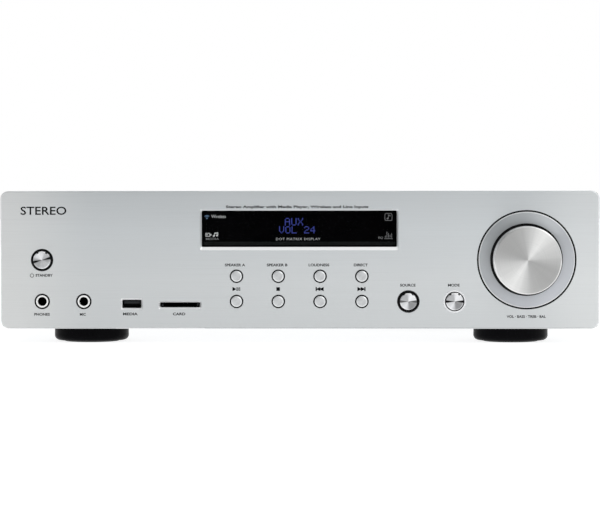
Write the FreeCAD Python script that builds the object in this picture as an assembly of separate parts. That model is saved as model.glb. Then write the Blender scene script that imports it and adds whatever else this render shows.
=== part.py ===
import FreeCAD, Part
import math
import os

# Stereo amplifier-receiver, full-width component size, built as a bench assembly of separate pieces.
# Row frame: millimetres, +Z up, +X to the listener's right, front panel faces -Y.
# Origin: middle of the footprint, on the plane that the rubber foot pads stand on.

os.makedirs("parts", exist_ok=True)
V = FreeCAD.Vector

# ---------------------------------------------------------------- driving dimensions
W_PANEL = 430.0          # front panel width
H_PANEL = 99.0           # front panel height
T_PANEL = 5.0            # front panel thickness
R_PANEL = 6.0            # front panel corner radius
EDGE_R = 0.9             # softened front edge
Z_PANEL = 11.0           # underside of the front panel above the standing plane
Z_FLOOR = 13.0           # underside of the chassis floor
T_SHEET = 1.0            # chassis sheet steel
W_COVER = 424.0          # outside width of the cover
Z_COVER = 106.0          # top of the cover
DEPTH_BODY = 300.0       # front face of the panel to the outside of the rear panel
KNOB_OUT = 17.0          # volume knob stands proud of the panel
TERM_OUT = 24.0          # speaker terminals stand proud of the rear panel

Y_MIN = -(DEPTH_BODY + KNOB_OUT + TERM_OUT) / 2.0
YF = Y_MIN + KNOB_OUT            # front face of the panel
YB = YF + T_PANEL                # back face of the panel
YR = YF + DEPTH_BODY             # outside of the rear panel
T_FRAME = 2.5                    # moulded carrier behind the panel
YC = YF + 14.0                   # front face of the control board
T_PCB = 1.6
ZC = Z_PANEL + H_PANEL / 2.0     # mid height of the panel

# display window
WIN_W = 140.0
WIN_Z0, WIN_Z1 = Z_PANEL + 58.7, Z_PANEL + 84.8
WIN_BEV_SIDE, WIN_BEV_TOP, WIN_BEV_BOTTOM, WIN_BEV_DEPTH = 1.2, 1.2, 2.4, 1.3

# volume control
VOL_X, VOL_Z = 163.0, ZC
DISH_R, DISH_RI, DISH_GAP, DISH_DEPTH = 34.6, 25.6, 1.0, 3.4
KNOB_R = 24.2
SHAFT_R = 3.0

# large round push buttons
BTN = {"standby": (-185.0, Z_PANEL + 49.4), "source": (78.3, Z_PANEL + 19.6), "mode": (111.5, Z_PANEL + 19.6)}
BTN_R, BEZEL_R, BEZEL_RI, BTN_TRAVEL = 6.5, 8.05, 6.62, 1.2

# small round keys
KEY_X = (-45.0, -15.0, 15.0, 45.0)
KEY_Z = (Z_PANEL + 37.7, Z_PANEL + 19.6)
KEYS = ("key_speaker_a", "key_speaker_b", "key_loudness", "key_direct",
        "key_play_pause", "key_stop", "key_previous", "key_next")
KEY_R, KEY_HOLE_R, KEY_TRAVEL = 4.05, 4.8, 0.8

# sockets on the front
JACKS = {"phones_jack": (-185.0, Z_PANEL + 19.6), "mic_jack": (-155.0, Z_PANEL + 19.6)}
JACK_BORE_R, JACK_BUSH_R, JACK_COLLAR_R, JACK_DEPTH = 3.25, 4.4, 5.5, 30.0
USB_X, USB_Z, USB_W, USB_H = -120.5, Z_PANEL + 17.8, 13.5, 5.9
CARD_X, CARD_Z, CARD_W, CARD_H = -85.7, Z_PANEL + 17.1, 28.6, 3.5

# feet
FEET = [(sx * 153.4, y) for sx in (-1, 1) for y in (YF + 41.0, 103.0)]
FOOT_R_TOP, FOOT_R, FOOT_H = 27.0, 27.15, Z_FLOOR

# rear connectors
TERM_X = (-110.0, -91.0, -60.0, -41.0)
TERM_Z = (74.0, 44.0)            # pair A above pair B
POST_R, POST_BORE_R, POST_BORE, TCAP_R, TCAP_TRAVEL = 3.0, 2.05, 15.4, 6.5, 5.0
PHONO_X = (66.0, 88.0, 110.0, 132.0, 154.0)
PHONO_Z = (66.0, 46.0)
PHONO_R, PHONO_BASE_R = 4.15, 4.6   # sleeve outside, and its shoulder in the block
INLET_X, INLET_Z = -185.0, 42.0


# ---------------------------------------------------------------- helpers
def box(x0, x1, y0, y1, z0, z1):
    return Part.makeBox(x1 - x0, y1 - y0, z1 - z0, V(x0, y0, z0))


def cyl_y(x, z, y0, y1, r):
    return Part.makeCylinder(r, y1 - y0, V(x, y0, z), V(0, 1, 0))


def cyl_z(x, y, z0, z1, r):
    return Part.makeCylinder(r, z1 - z0, V(x, y, z0), V(0, 0, 1))


def cyl_x(y, z, x0, x1, r):
    return Part.makeCylinder(r, x1 - x0, V(x0, y, z), V(1, 0, 0))


def cone_y(x, z, y0, y1, r0, r1):
    return Part.makeCone(r0, r1, y1 - y0, V(x, y0, z), V(0, 1, 0))


def hex_prism(centre, direction, length, flats):
    r = flats / 2.0 / math.cos(math.pi / 6)
    d = V(*direction)
    c = V(*centre)
    u = V(1, 0, 0) if abs(d.x) < 0.5 else V(0, 1, 0)
    w = d.cross(u)
    pts = [c + u * (r * math.cos(a)) + w * (r * math.sin(a)) for a in [i * math.pi / 3 for i in range(6)]]
    face = Part.Face(Part.makePolygon(pts + [pts[0]]))
    return face.extrude(d * length)


def rrect(x0, x1, z0, z1, y, r):
    """Rounded rectangle wire in the plane at y."""
    if r <= 0:
        pts = [V(x0, y, z0), V(x1, y, z0), V(x1, y, z1), V(x0, y, z1)]
        return Part.makePolygon(pts + [pts[0]])
    k = r * (1 - math.sqrt(0.5))
    e = []
    e.append(Part.LineSegment(V(x0 + r, y, z0), V(x1 - r, y, z0)).toShape())
    e.append(Part.Arc(V(x1 - r, y, z0), V(x1 - k, y, z0 + k), V(x1, y, z0 + r)).toShape())
    e.append(Part.LineSegment(V(x1, y, z0 + r), V(x1, y, z1 - r)).toShape())
    e.append(Part.Arc(V(x1, y, z1 - r), V(x1 - k, y, z1 - k), V(x1 - r, y, z1)).toShape())
    e.append(Part.LineSegment(V(x1 - r, y, z1), V(x0 + r, y, z1)).toShape())
    e.append(Part.Arc(V(x0 + r, y, z1), V(x0 + k, y, z1 - k), V(x0, y, z1 - r)).toShape())
    e.append(Part.LineSegment(V(x0, y, z1 - r), V(x0, y, z0 + r)).toShape())
    e.append(Part.Arc(V(x0, y, z0 + r), V(x0 + k, y, z0 + k), V(x0 + r, y, z0)).toShape())
    return Part.Wire(e)


def rbox(x0, x1, y0, y1, z0, z1, r):
    """Box with its four Y-parallel edges rounded."""
    return Part.Face(rrect(x0, x1, z0, z1, y0, r)).extrude(V(0, y1 - y0, 0))


def frustum(front, back, y0, y1, r0, r1):
    """Tapered opening from the rectangle front (x0, x1, z0, z1) at y0 to back at y1."""
    a = rrect(front[0], front[1], front[2], front[3], y0, r0)
    b = rrect(back[0], back[1], back[2], back[3], y1, r1)
    return Part.makeLoft([a, b], True, True)


def profile(points):
    """Closed wire from (a, b) points in a local plane. A point of four numbers is an arc through (a, b) to (c, d)."""
    out = []
    last = points[0]
    first = last
    for p in points[1:] + [first]:
        if len(p) == 4:
            out.append(("arc", last[-2:], p[:2], p[2:]))
        elif math.hypot(p[0] - last[-2], p[1] - last[-1]) > 1e-7:
            out.append(("line", last[-2:], p))
        last = p
    return out


def revolve_y(points, x, z):
    """Turned piece about the Y-parallel axis through (x, z); points are (radius, y)."""
    e = []
    for s in profile(points):
        q = [V(x + a[0], a[1], z) for a in s[1:]]
        e.append(Part.LineSegment(q[0], q[1]).toShape() if s[0] == "line" else Part.Arc(q[0], q[1], q[2]).toShape())
    return Part.Face(Part.Wire(e)).revolve(V(x, 0, z), V(0, 1, 0), 360)


def revolve_z(points, x, y):
    """Turned piece about the vertical axis through (x, y); points are (radius, z)."""
    e = []
    for s in profile(points):
        q = [V(x + a[0], y, a[1]) for a in s[1:]]
        e.append(Part.LineSegment(q[0], q[1]).toShape() if s[0] == "line" else Part.Arc(q[0], q[1], q[2]).toShape())
    return Part.Face(Part.Wire(e)).revolve(V(x, y, 0), V(0, 0, 1), 360)


def slot_z(x, y0, y1, z0, z1, w):
    """Round-ended slot tool through a horizontal sheet, long side along Y."""
    r = w / 2.0
    return Part.makeCompound([]) if y1 - y0 < w else box(x - r, x + r, y0 + r, y1 - r, z0, z1).fuse(
        [cyl_z(x, y0 + r, z0, z1, r), cyl_z(x, y1 - r, z0, z1, r)]).removeSplitter()


def slot_x(y, z0, z1, x0, x1, w):
    """Round-ended slot tool through a side sheet, long side upright."""
    r = w / 2.0
    return box(x0, x1, y - r, y + r, z0 + r, z1 - r).fuse(
        [cyl_x(y, z0 + r, x0, x1, r), cyl_x(y, z1 - r, x0, x1, r)]).removeSplitter()


def slot_y(x, z0, z1, y0, y1, w):
    """Round-ended slot tool through the rear sheet, long side upright."""
    r = w / 2.0
    return box(x - r, x + r, y0, y1, z0 + r, z1 - r).fuse(
        [cyl_y(x, z0 + r, y0, y1, r), cyl_y(x, z1 - r, y0, y1, r)]).removeSplitter()


def pan_screw(centre, direction, head_r, head_h, shank_r, shank_l):
    """Pan-head screw: centre is where head meets sheet, direction points from the sheet out through the head."""
    d = V(*direction)
    c = V(*centre)
    head = Part.makeCylinder(head_r, head_h, c, d)
    top = [e for e in head.Edges if len(e.Vertexes) == 1 and abs((e.Vertexes[0].Point - c).dot(d) - head_h) < 1e-6]
    head = head.makeFillet(head_h * 0.55, top)
    shank = Part.makeCylinder(shank_r, shank_l, c - d * shank_l, d)
    u = V(0, 0, 1) if abs(d.z) < 0.5 else V(1, 0, 0)
    w = d.cross(u)
    cut = []
    for a, b in ((u, w), (w, u)):
        l, t = head_r * 0.62, head_r * 0.13
        p = [c + d * (head_h * 0.45) + a * (s * l) + b * (q * t) for s, q in ((-1, -1), (1, -1), (1, 1), (-1, 1))]
        cut.append(Part.Face(Part.makePolygon(p + [p[0]])).extrude(d * head_h))
    return head.fuse(shank).cut(cut).removeSplitter()


made = {}


def put(name, *shapes):
    solids = []
    for s in shapes:
        solids += s.Solids
    for s in solids:
        if not s.isValid() or s.Volume <= 0:
            raise RuntimeError("bad solid in " + name)
    shape = solids[0] if len(solids) == 1 else Part.makeCompound(solids)
    shape.exportStep("parts/%s.step" % name)
    made[name] = shape


# ---------------------------------------------------------------- front panel
panel = Part.Face(rrect(-W_PANEL / 2, W_PANEL / 2, Z_PANEL, Z_PANEL + H_PANEL, YF, R_PANEL)).extrude(V(0, T_PANEL, 0))
front_edges = [e for e in panel.Edges if all(abs(v.Point.y - YF) < 1e-6 for v in e.Vertexes)]
panel = panel.makeFillet(EDGE_R, front_edges)

PANEL_SCREWS = [(-201.0, 21.5), (-201.0, 99.0), (-90.0, 100.5), (90.0, 100.5), (203.0, 101.5), (204.0, 19.5), (0.0, 20.3)]
cuts = [rbox(-WIN_W / 2, WIN_W / 2, YF - 1, YB + 1, WIN_Z0, WIN_Z1, 0.8)]
cuts.append(frustum(
    (-WIN_W / 2 - WIN_BEV_SIDE, WIN_W / 2 + WIN_BEV_SIDE, WIN_Z0 - WIN_BEV_BOTTOM, WIN_Z1 + WIN_BEV_TOP),
    (-WIN_W / 2, WIN_W / 2, WIN_Z0, WIN_Z1), YF, YF + WIN_BEV_DEPTH, 1.0, 0.8))
cuts.append(cyl_y(VOL_X, VOL_Z, YF - 1, YB + 1, DISH_R + DISH_GAP))
for x, z in BTN.values():
    cuts.append(cyl_y(x, z, YF - 1, YB + 1, BEZEL_R + 0.05))
for kz in KEY_Z:
    for kx in KEY_X:
        cuts.append(cyl_y(kx, kz, YF - 1, YB + 1, KEY_HOLE_R))
        cuts.append(cone_y(kx, kz, YF, YF + 0.12, KEY_HOLE_R + 0.12, KEY_HOLE_R))
for x, z in JACKS.values():
    cuts.append(cyl_y(x, z, YF - 1, YB + 1, JACK_COLLAR_R + 0.1))
ux0, ux1, uz0, uz1 = USB_X - USB_W / 2, USB_X + USB_W / 2, USB_Z - USB_H / 2, USB_Z + USB_H / 2
cuts.append(rbox(ux0, ux1, YF - 1, YB + 1, uz0, uz1, 0.4))
cuts.append(frustum((ux0 - 1.2, ux1 + 1.2, uz0 - 1.3, uz1 + 1.2), (ux0, ux1, uz0, uz1), YF, YF + 1.3, 1.2, 0.4))
cx0, cx1, cz0, cz1 = CARD_X - CARD_W / 2, CARD_X + CARD_W / 2, CARD_Z - CARD_H / 2, CARD_Z + CARD_H / 2
cuts.append(rbox(cx0, cx1, YF - 1, YB + 1, cz0, cz1, 0.4))
cuts.append(frustum((cx0 - 1.1, cx1 + 1.1, cz0 - 1.4, cz1 + 0.7), (cx0, cx1, cz0, cz1), YF, YF + 1.4, 0.9, 0.4))
for x, z in PANEL_SCREWS:
    cuts.append(cyl_y(x, z, YB - 2.6, YB + 1, 1.55))
put("front_panel", panel.cut(cuts))

# ---------------------------------------------------------------- moulded carrier behind the panel
YM = YB + T_FRAME                # back face of the carrier
PCB_BOSSES = [(-195.0, 92.0), (-110.0, 92.0), (-110.0, 57.0), (110.0, 92.0), (108.0, 57.0), (195.0, 93.0), (196.0, 28.0), (62.0, 22.5)]
LIP_SCREWS = [(-120.0, YM + 6.0), (-40.0, YM + 6.0), (40.0, YM + 6.0), (120.0, YM + 6.0)]
frame = box(-205, 205, YB, YM, Z_FLOOR + T_SHEET, 103).fuse(
    [box(-200, 200, YM, YM + 12, Z_FLOOR + T_SHEET, Z_FLOOR + T_SHEET + 3)]
    + [cyl_y(x, z, YM - 0.5, YC, 3.2) for x, z in PCB_BOSSES])
cuts = [box(-73.2, 73.2, YB - 1, YM + 1, WIN_Z0 - 2.7, WIN_Z1 + 2.7)]
cuts += [cyl_y(VOL_X, VOL_Z, YB - 1, YB + 1.25, DISH_R + 2.6), cyl_y(VOL_X, VOL_Z, YB, YM + 1, 3.75)]
for x, z in BTN.values():
    cuts += [cyl_y(x, z, YB - 1, YB + 1.05, BEZEL_R + 1.35), cyl_y(x, z, YB, YM + 1, 8.2)]
for kz in KEY_Z:
    cuts += [cyl_y(kx, kz, YB - 1, YM + 1, 6.2) for kx in KEY_X]
cuts += [cyl_y(x, z, YB - 1, YM + 1, JACK_COLLAR_R + 0.1) for x, z in JACKS.values()]
cuts += [box(ux0 - 0.2, ux1 + 0.2, YB - 1, YM + 1, uz0 - 0.3, uz1 + 0.3),
         box(cx0 - 0.3, cx1 + 0.3, YB - 1, YM + 1, cz0 - 0.4, cz1 + 0.4)]
cuts += [cyl_y(x, z, YB - 1, YM + 1, 1.6) for x, z in PANEL_SCREWS]
cuts += [cyl_y(x, z, YC - 5.5, YC + 1, 1.3) for x, z in PCB_BOSSES]
cuts += [cyl_z(x, y, Z_FLOOR, Z_FLOOR + T_SHEET + 4, 1.55) for x, y in LIP_SCREWS]
put("front_frame", frame.cut(cuts).removeSplitter())

# ---------------------------------------------------------------- display
put("display_window",
    rbox(-WIN_W / 2 + 0.1, WIN_W / 2 - 0.1, YF + 2.6, YB, WIN_Z0 + 0.1, WIN_Z1 - 0.1, 0.7).fuse(
        box(-73, 73, YB, YB + 1.0, WIN_Z0 - 2.5, WIN_Z1 + 2.5)).removeSplitter())
YD = YB + 1.2
put("display_module",
    box(-67, 67, YD, YD + 2.6, WIN_Z0 + 1.9, WIN_Z1 - 1.9),
    box(-71.5, 71.5, YD, YD + 4.6, WIN_Z0 - 1.3, WIN_Z1 + 1.3).cut([box(-67.05, 67.05, YD - 1, YD + 2.65, WIN_Z0 + 1.85, WIN_Z1 - 1.85)]),
    box(-72.5, 72.5, YD + 4.6, YD + 6.2, WIN_Z0 - 2.1, WIN_Z1 + 2.1))

# ---------------------------------------------------------------- volume control
put("volume_dish", revolve_y([
    (DISH_RI, YF + DISH_DEPTH), (30.0, YF + 2.2, DISH_R - 0.5, YF - 0.05), (DISH_R, YF + 0.35), (DISH_R, YB),
    (DISH_R + 2.4, YB), (DISH_R + 2.4, YB + 1.2), (DISH_RI, YB + 1.2)], VOL_X, VOL_Z))
enc = box(VOL_X - 6.5, VOL_X + 6.5, YM, YC, VOL_Z - 6.5, VOL_Z + 6.5).fuse(
    cyl_y(VOL_X, VOL_Z, YF + 0.9, YM + 0.1, 3.65)).cut(cyl_y(VOL_X, VOL_Z, YF, YF + 12.0, SHAFT_R + 0.05))
nut = hex_prism((VOL_X, YB - 0.75, VOL_Z), (0, 1, 0), 2.0, 10.0).cut(cyl_y(VOL_X, VOL_Z, YF, YM, 3.7))
put("volume_encoder", enc, nut)
shaft = cyl_y(VOL_X, VOL_Z, YF - 11.0, YF + 11.5, SHAFT_R).cut(
    box(VOL_X - 4, VOL_X + 4, YF - 12, YF - 1.0, VOL_Z + 1.6, VOL_Z + 5))
put("encoder_shaft", shaft)
knob = revolve_y([
    (0, YF - KNOB_OUT), (KNOB_R - 1.1, YF - KNOB_OUT), (KNOB_R - 0.3, YF - KNOB_OUT + 0.33, KNOB_R, YF - KNOB_OUT + 1.1),
    (KNOB_R, YF + 3.6), (KNOB_R - 0.6, YF + 4.2),
    (KNOB_R - 2.6, YF + 4.2), (KNOB_R - 2.6, YF - 10), (7, YF - 10), (7, YF + 0.4), (0, YF + 0.4)], VOL_X, VOL_Z)
dbore = cyl_y(VOL_X, VOL_Z, YF - 11.1, YF + 1.0, SHAFT_R + 0.03).cut(
    box(VOL_X - 4, VOL_X + 4, YF - 12, YF - 1.03, VOL_Z + 1.63, VOL_Z + 5))
put("volume_knob", knob.cut(dbore))


# ---------------------------------------------------------------- round push buttons
def bezel(x, z, proud, ri, chamfer):
    return revolve_y([
        (ri + chamfer, YF - proud), (BEZEL_R - 0.25, YF - proud), (BEZEL_R, YF - proud + 0.25), (BEZEL_R, YB),
        (BEZEL_R + 1.15, YB), (BEZEL_R + 1.15, YB + 1.0), (ri, YB + 1.0), (ri, YF - proud + chamfer)], x, z)


put("button_bezels", bezel(*BTN["standby"], 0.15, BEZEL_RI, 0.4), bezel(*BTN["source"], 0.15, BEZEL_RI, 0.4))
put("mode_bezel", bezel(*BTN["mode"], 0.2, BEZEL_RI + 0.3, 0.15))
TACT_TOP = YC - 4.4
for name, (x, z) in BTN.items():
    put(name + "_button", revolve_y([
        (0, YF - 0.85), (5.5, YF - 1.35), (6.25, YF - 1.1, BTN_R, YF - 0.4), (BTN_R, YB + 1.05),
        (7.6, YB + 1.05), (7.6, YB + 2.2), (2.2, YB + 2.2), (2.2, TACT_TOP - BTN_TRAVEL - 0.02),
        (0, TACT_TOP - BTN_TRAVEL - 0.02)], x, z))
KEY_AT = [(x, z) for z in KEY_Z for x in KEY_X]
for name, (x, z) in zip(KEYS, KEY_AT):
    put(name, revolve_y([
        (0, YF - 0.9), (KEY_R - 0.95, YF - 0.9), (KEY_R - 0.43, YF - 0.7, KEY_R, YF - 0.35), (KEY_R, YB + 0.05),
        (5.6, YB + 0.05), (5.6, YB + 1.2), (1.8, YB + 1.2), (1.8, TACT_TOP - KEY_TRAVEL - 0.02),
        (0, TACT_TOP - KEY_TRAVEL - 0.02)], x, z))
put("tact_switches", *[
    box(x - 3, x + 3, YC - 3.4, YC, z - 3, z + 3).fuse(cyl_y(x, z, TACT_TOP, YC - 3.3, 1.7)).removeSplitter()
    for x, z in list(BTN.values()) + KEY_AT])

# ---------------------------------------------------------------- front sockets
for name, (x, z) in JACKS.items():
    body = box(x - 7, x + 7, YM, YM + 27, z - 8.6, z + 8.4).fuse(cyl_y(x, z, YF - 0.2, YM + 0.5, JACK_COLLAR_R))
    body = body.cut([cyl_y(x, z, YF - 1, YF + 3.5, JACK_BUSH_R + 0.03),
                     cyl_y(x, z, YF, YF - 0.6 + JACK_DEPTH, JACK_BORE_R)])
    bush = revolve_y([
        (JACK_BORE_R + 0.3, YF - 0.6), (JACK_BUSH_R - 0.3, YF - 0.6), (JACK_BUSH_R, YF - 0.3), (JACK_BUSH_R, YF + 3.5),
        (JACK_BORE_R, YF + 3.5), (JACK_BORE_R, YF - 0.3)], x, z)
    put(name, body, bush)

ZS = Z_PANEL + 11.0             # top of the front sockets' board
uy0 = YF + 1.6
usb_shell = box(USB_X - 6.6, USB_X + 6.6, uy0, uy0 + 14, USB_Z - 2.85, USB_Z + 2.85).cut(
    box(USB_X - 6.25, USB_X + 6.25, uy0 - 1, uy0 + 13.5, USB_Z - 2.5, USB_Z + 2.5)).fuse(
    [box(USB_X + s - 0.4, USB_X + s + 0.4, YM + 1.5, YM + 4.0, ZS, USB_Z - 2.6) for s in (-6.0, 6.0)]).removeSplitter()
usb_core = box(USB_X - 6.2, USB_X + 6.2, uy0 + 10.5, uy0 + 13.45, USB_Z - 2.45, USB_Z + 2.45).fuse(
    box(USB_X - 5.6, USB_X + 5.6, uy0 + 1.2, uy0 + 10.6, USB_Z + 0.2, USB_Z + 2.0)).removeSplitter()
put("usb_port", usb_shell, usb_core)
put("card_slot",
    box(CARD_X - 14.15, CARD_X + 14.15, YF + 2.2, YF + 33, CARD_Z - 1.6, CARD_Z + 1.6).cut(
        box(CARD_X - 12.2, CARD_X + 12.2, YF + 1, YF + 30, CARD_Z - 1.15, CARD_Z + 1.15)).fuse(
        [box(CARD_X + s - 0.5, CARD_X + s + 0.5, YM + 2, YM + 6, ZS, CARD_Z - 1.4) for s in (-13.0, 13.0)]).removeSplitter())

# ---------------------------------------------------------------- control board and its sockets' board
ctrl = box(-201, 201, YC, YC + T_PCB, 19, 101).cut(
    [box(-202, -58, YC - 1, YC + 3, 18, 44)] + [cyl_y(x, z, YC - 1, YC + 3, 1.6) for x, z in PCB_BOSSES])
put("control_board", ctrl, box(-196, -64, YM + 0.3, YM + 32, ZS - T_PCB, ZS))

# ---------------------------------------------------------------- chassis
BOLT = (-130.0, -40.0)           # transformer centre bolt
STANDOFFS = [(-52.0, -57.0), (-52.0, 112.0), (70.0, -57.0), (70.0, 112.0), (187.0, -57.0), (187.0, 112.0), (85.0, -100.0), (110.0, -100.0)]
SIDE_SCREWS = (-115.0, 0.0, 115.0)
REAR_LIP_SCREWS = [(-120.0, YR - 5.0), (0.0, YR - 5.0), (120.0, YR - 5.0)]
zf = Z_FLOOR + T_SHEET
xi = W_COVER / 2 - T_SHEET       # inside of the cover's sides
base = box(-xi, xi, YB, YR, Z_FLOOR, zf).fuse([
    box(-xi, -xi + 1, YM, YR - T_SHEET, zf - 0.5, 32), box(xi - 1, xi, YM, YR - T_SHEET, zf - 0.5, 32)])
cuts = [cyl_z(x, y, Z_FLOOR - 1, zf + 1, 2.05) for x, y in FEET]
cuts += [cyl_z(BOLT[0], BOLT[1], Z_FLOOR - 1, zf + 1, 3.1)]
cuts += [cyl_z(x, y, Z_FLOOR - 1, zf + 1, 1.55) for x, y in STANDOFFS + LIP_SCREWS + REAR_LIP_SCREWS]
cuts += [slot_z(x, y, y + 28, Z_FLOOR - 1, zf + 1, 3.0) for x in range(60, 131, 10) for y in (12, 50)]
for y in SIDE_SCREWS:
    cuts += [cyl_x(y, 23, -xi - 1, -xi + 2, 1.55), cyl_x(y, 23, xi - 2, xi + 1, 1.55)]
put("chassis_base", base.cut(cuts).removeSplitter())

cover_y0, cover_y1 = YB, YR
outer = Part.makeBox(W_COVER, cover_y1 - cover_y0, Z_COVER - Z_FLOOR + 10, V(-W_COVER / 2, cover_y0, Z_FLOOR - 10))
inner = Part.makeBox(W_COVER - 2 * T_SHEET, cover_y1 - cover_y0 + 4, Z_COVER - Z_FLOOR + 10 - T_SHEET,
                     V(-W_COVER / 2 + T_SHEET, cover_y0 - 2, Z_FLOOR - 10))


def top_edges(s, z):
    return [e for e in s.Edges if all(abs(v.Point.z - z) < 1e-6 for v in e.Vertexes)
            and abs(e.Vertexes[0].Point.x - e.Vertexes[-1].Point.x) < 1e-6]


outer = outer.makeFillet(2.2, top_edges(outer, Z_COVER))
inner = inner.makeFillet(1.2, top_edges(inner, Z_COVER - T_SHEET))
cover = outer.cut([inner, box(-W_COVER, W_COVER, cover_y0 - 5, cover_y1 + 5, Z_FLOOR - 20, Z_FLOOR)])
lip = box(-204, 204, YR, YR + T_SHEET, 95, Z_COVER)
cover = cover.fuse(lip)
VENT_ROWS = ((30.0, 58.0), (64.0, 92.0), (98.0, 126.0))
cuts = [slot_z(x, a, b, Z_COVER - 3, Z_COVER + 1, 3.0) for a, b in VENT_ROWS for x in range(-150, 151, 10)]
for y in range(20, 111, 10):
    cuts += [slot_x(y, 50, 80, -W_COVER / 2 - 1, -W_COVER / 2 + 2, 3.0), slot_x(y, 50, 80, W_COVER / 2 - 2, W_COVER / 2 + 1, 3.0)]
COVER_REAR_SCREWS = (-185.0, 0.0, 185.0)
cuts += [cyl_y(x, 99.5, YR - 1, YR + 3, 1.7) for x in COVER_REAR_SCREWS]
for y in SIDE_SCREWS:
    cuts += [cyl_x(y, 23, -W_COVER / 2 - 1, -W_COVER / 2 + 2, 1.7), cyl_x(y, 23, W_COVER / 2 - 2, W_COVER / 2 + 1, 1.7)]
put("top_cover", cover.cut(cuts).removeSplitter())

TB = (-123.0, -28.0, 29.0, 89.0)         # speaker terminal block body, x0 x1 z0 z1
PB = (54.0, 166.0, 35.0, 77.0)           # phono socket block
TB_SCREWS = [(-125.5, 59.0), (-25.5, 59.0)]
PB_SCREWS = [(77.0, 56.0), (143.0, 56.0)]
rear = box(-xi, xi, YR - T_SHEET, YR, zf, Z_COVER - 4).fuse([
    box(-208, 208, YR - T_SHEET, YR, Z_COVER - 5, Z_COVER - T_SHEET),
    box(-207, 207, YR - 11, YR - 0.5, Z_COVER - 2 * T_SHEET, Z_COVER - T_SHEET),
    box(-200, 200, YR - 10, YR - 0.5, zf, zf + 1)])
cuts = [box(TB[0] - 0.2, TB[1] + 0.2, YR - 3, YR + 1, TB[2] - 0.2, TB[3] + 0.2)]
cuts += [cyl_y(x, z, YR - 3, YR + 1, 5.5) for x in PHONO_X for z in PHONO_Z]
cuts += [box(INLET_X - 13.5, INLET_X + 13.5, YR - 3, YR + 1, INLET_Z - 10, INLET_Z + 10)]
cuts += [cyl_y(x, z, YR - 3, YR + 1, 1.55) for x, z in TB_SCREWS + PB_SCREWS]
cuts += [cyl_y(x, 99.5, YR - 3, YR + 1, 1.55) for x in COVER_REAR_SCREWS]
cuts += [cyl_z(x, y, zf - 1, zf + 2, 1.55) for x, y in REAR_LIP_SCREWS]
cuts += [slot_y(x, 62, 86, YR - 3, YR + 1, 3.0) for x in range(-8, 43, 8)]
cuts += [slot_y(x, 30, 54, YR - 3, YR + 1, 3.0) for x in range(-8, 43, 8)]
put("rear_panel", rear.cut(cuts).removeSplitter())

# ---------------------------------------------------------------- feet
foot = []
pad = []
fscrew = []
for x, y in FEET:
    foot.append(revolve_z([
        (2.1, 5.0), (5.5, 5.0), (5.5, 0.8), (10.8, 0.8), (10.8, 2.4), (20.2, 2.4), (20.2, 0.8), (23.4, 0.8),
        (26.15, 1.95, FOOT_R, 4.7), (FOOT_R_TOP, FOOT_H), (2.1, FOOT_H)], x, y))
    pad.append(revolve_z([(11.0, 0.3), (11.3, 0.0), (19.7, 0.0), (20.0, 0.3), (20.0, 2.4), (11.0, 2.4)], x, y))
    fscrew.append(pan_screw((x, y, 5.0), (0, 0, -1), 4.0, 2.4, 2.0, 12.0))
put("feet", *foot)
put("foot_pads", *pad)
put("foot_screws", *fscrew)

# ---------------------------------------------------------------- power transformer
tx, ty = BOLT
zt = zf + 2.0
q = math.sqrt(0.5)
put("transformer", revolve_z([
    (26.0, zt), (42.0, zt), (42 + 10 * q, zt + 10 - 10 * q, 52.0, zt + 10), (52.0, zt + 32),
    (42 + 10 * q, zt + 32 + 10 * q, 42.0, zt + 42), (26.0, zt + 42), (26 - 10 * q, zt + 32 + 10 * q, 16.0, zt + 32),
    (16.0, zt + 10), (26 - 10 * q, zt + 10 - 10 * q, 26.0, zt)], tx, ty))
bolt = hex_prism((tx, ty, Z_FLOOR - 3.2), (0, 0, 1), 3.2, 10.0).fuse(cyl_z(tx, ty, Z_FLOOR - 0.2, zt + 56, 3.0))
put("transformer_clamp",
    bolt.removeSplitter(),
    hex_prism((tx, ty, zt + 46.0), (0, 0, 1), 5.0, 10.0).cut(cyl_z(tx, ty, zt + 45, zt + 52, 3.05)),
    revolve_z([(3.1, zt + 44.0), (36.0, zt + 44.0), (38.0, zt + 44.3), (38.0, zt + 45.0), (36.0, zt + 46.0), (3.1, zt + 46.0)], tx, ty),
    revolve_z([(3.2, zt + 42.0), (40.0, zt + 42.0), (40.0, zt + 43.99), (3.2, zt + 43.99)], tx, ty),
    revolve_z([(3.2, zf), (48.0, zf), (48.0, zt), (3.2, zt)], tx, ty))

# ---------------------------------------------------------------- main board and what it carries
ZB0 = zf + 8.0
ZB1 = ZB0 + T_PCB
MB = STANDOFFS[:6]
put("main_board", box(-60, 195, -65, 120, ZB0, ZB1).cut([cyl_z(x, y, ZB0 - 1, ZB1 + 1, 1.6) for x, y in MB]))
put("standoffs", *[
    hex_prism((x, y, zf), (0, 0, 1), ZB0 - zf, 6.0).cut(cyl_z(x, y, zf - 1, ZB0 + 1, 1.55)) for x, y in STANDOFFS])
caps = [cyl_z(x, y, ZB1, ZB1 + 45, 16.0) for x, y in ((-30.0, -36.0), (6.0, -36.0))]
caps = [c.makeFillet(1.2, [e for e in c.Edges if len(e.Vertexes) == 1 and abs(e.Vertexes[0].Point.z - ZB1 - 45) < 1e-6]) for c in caps]
caps += [cyl_z(x, -36.0, ZB1, ZB1 + 20, 6.3) for x in (36.0, 54.0, 86.0, 104.0)]
caps += [cyl_z(x, 84.0, ZB1, ZB1 + 16, 5.0) for x in (60.0, 84.0, 108.0, 132.0)]
put("filter_capacitors", *caps)
fins = [box(40, 180, 20, 25, ZB1, 86)] + [box(x, x + 2.0, 24.5, 58, ZB1, 86) for x in range(40, 179, 8)]
put("heatsink", fins[0].fuse(fins[1:] + [box(178, 180, 24.5, 58, ZB1, 86)]).removeSplitter().cut(
    [cyl_y(x, 60.0, 19, 26, 1.3) for x in (60.0, 92.0, 128.0, 160.0)]))
tr = []
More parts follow.
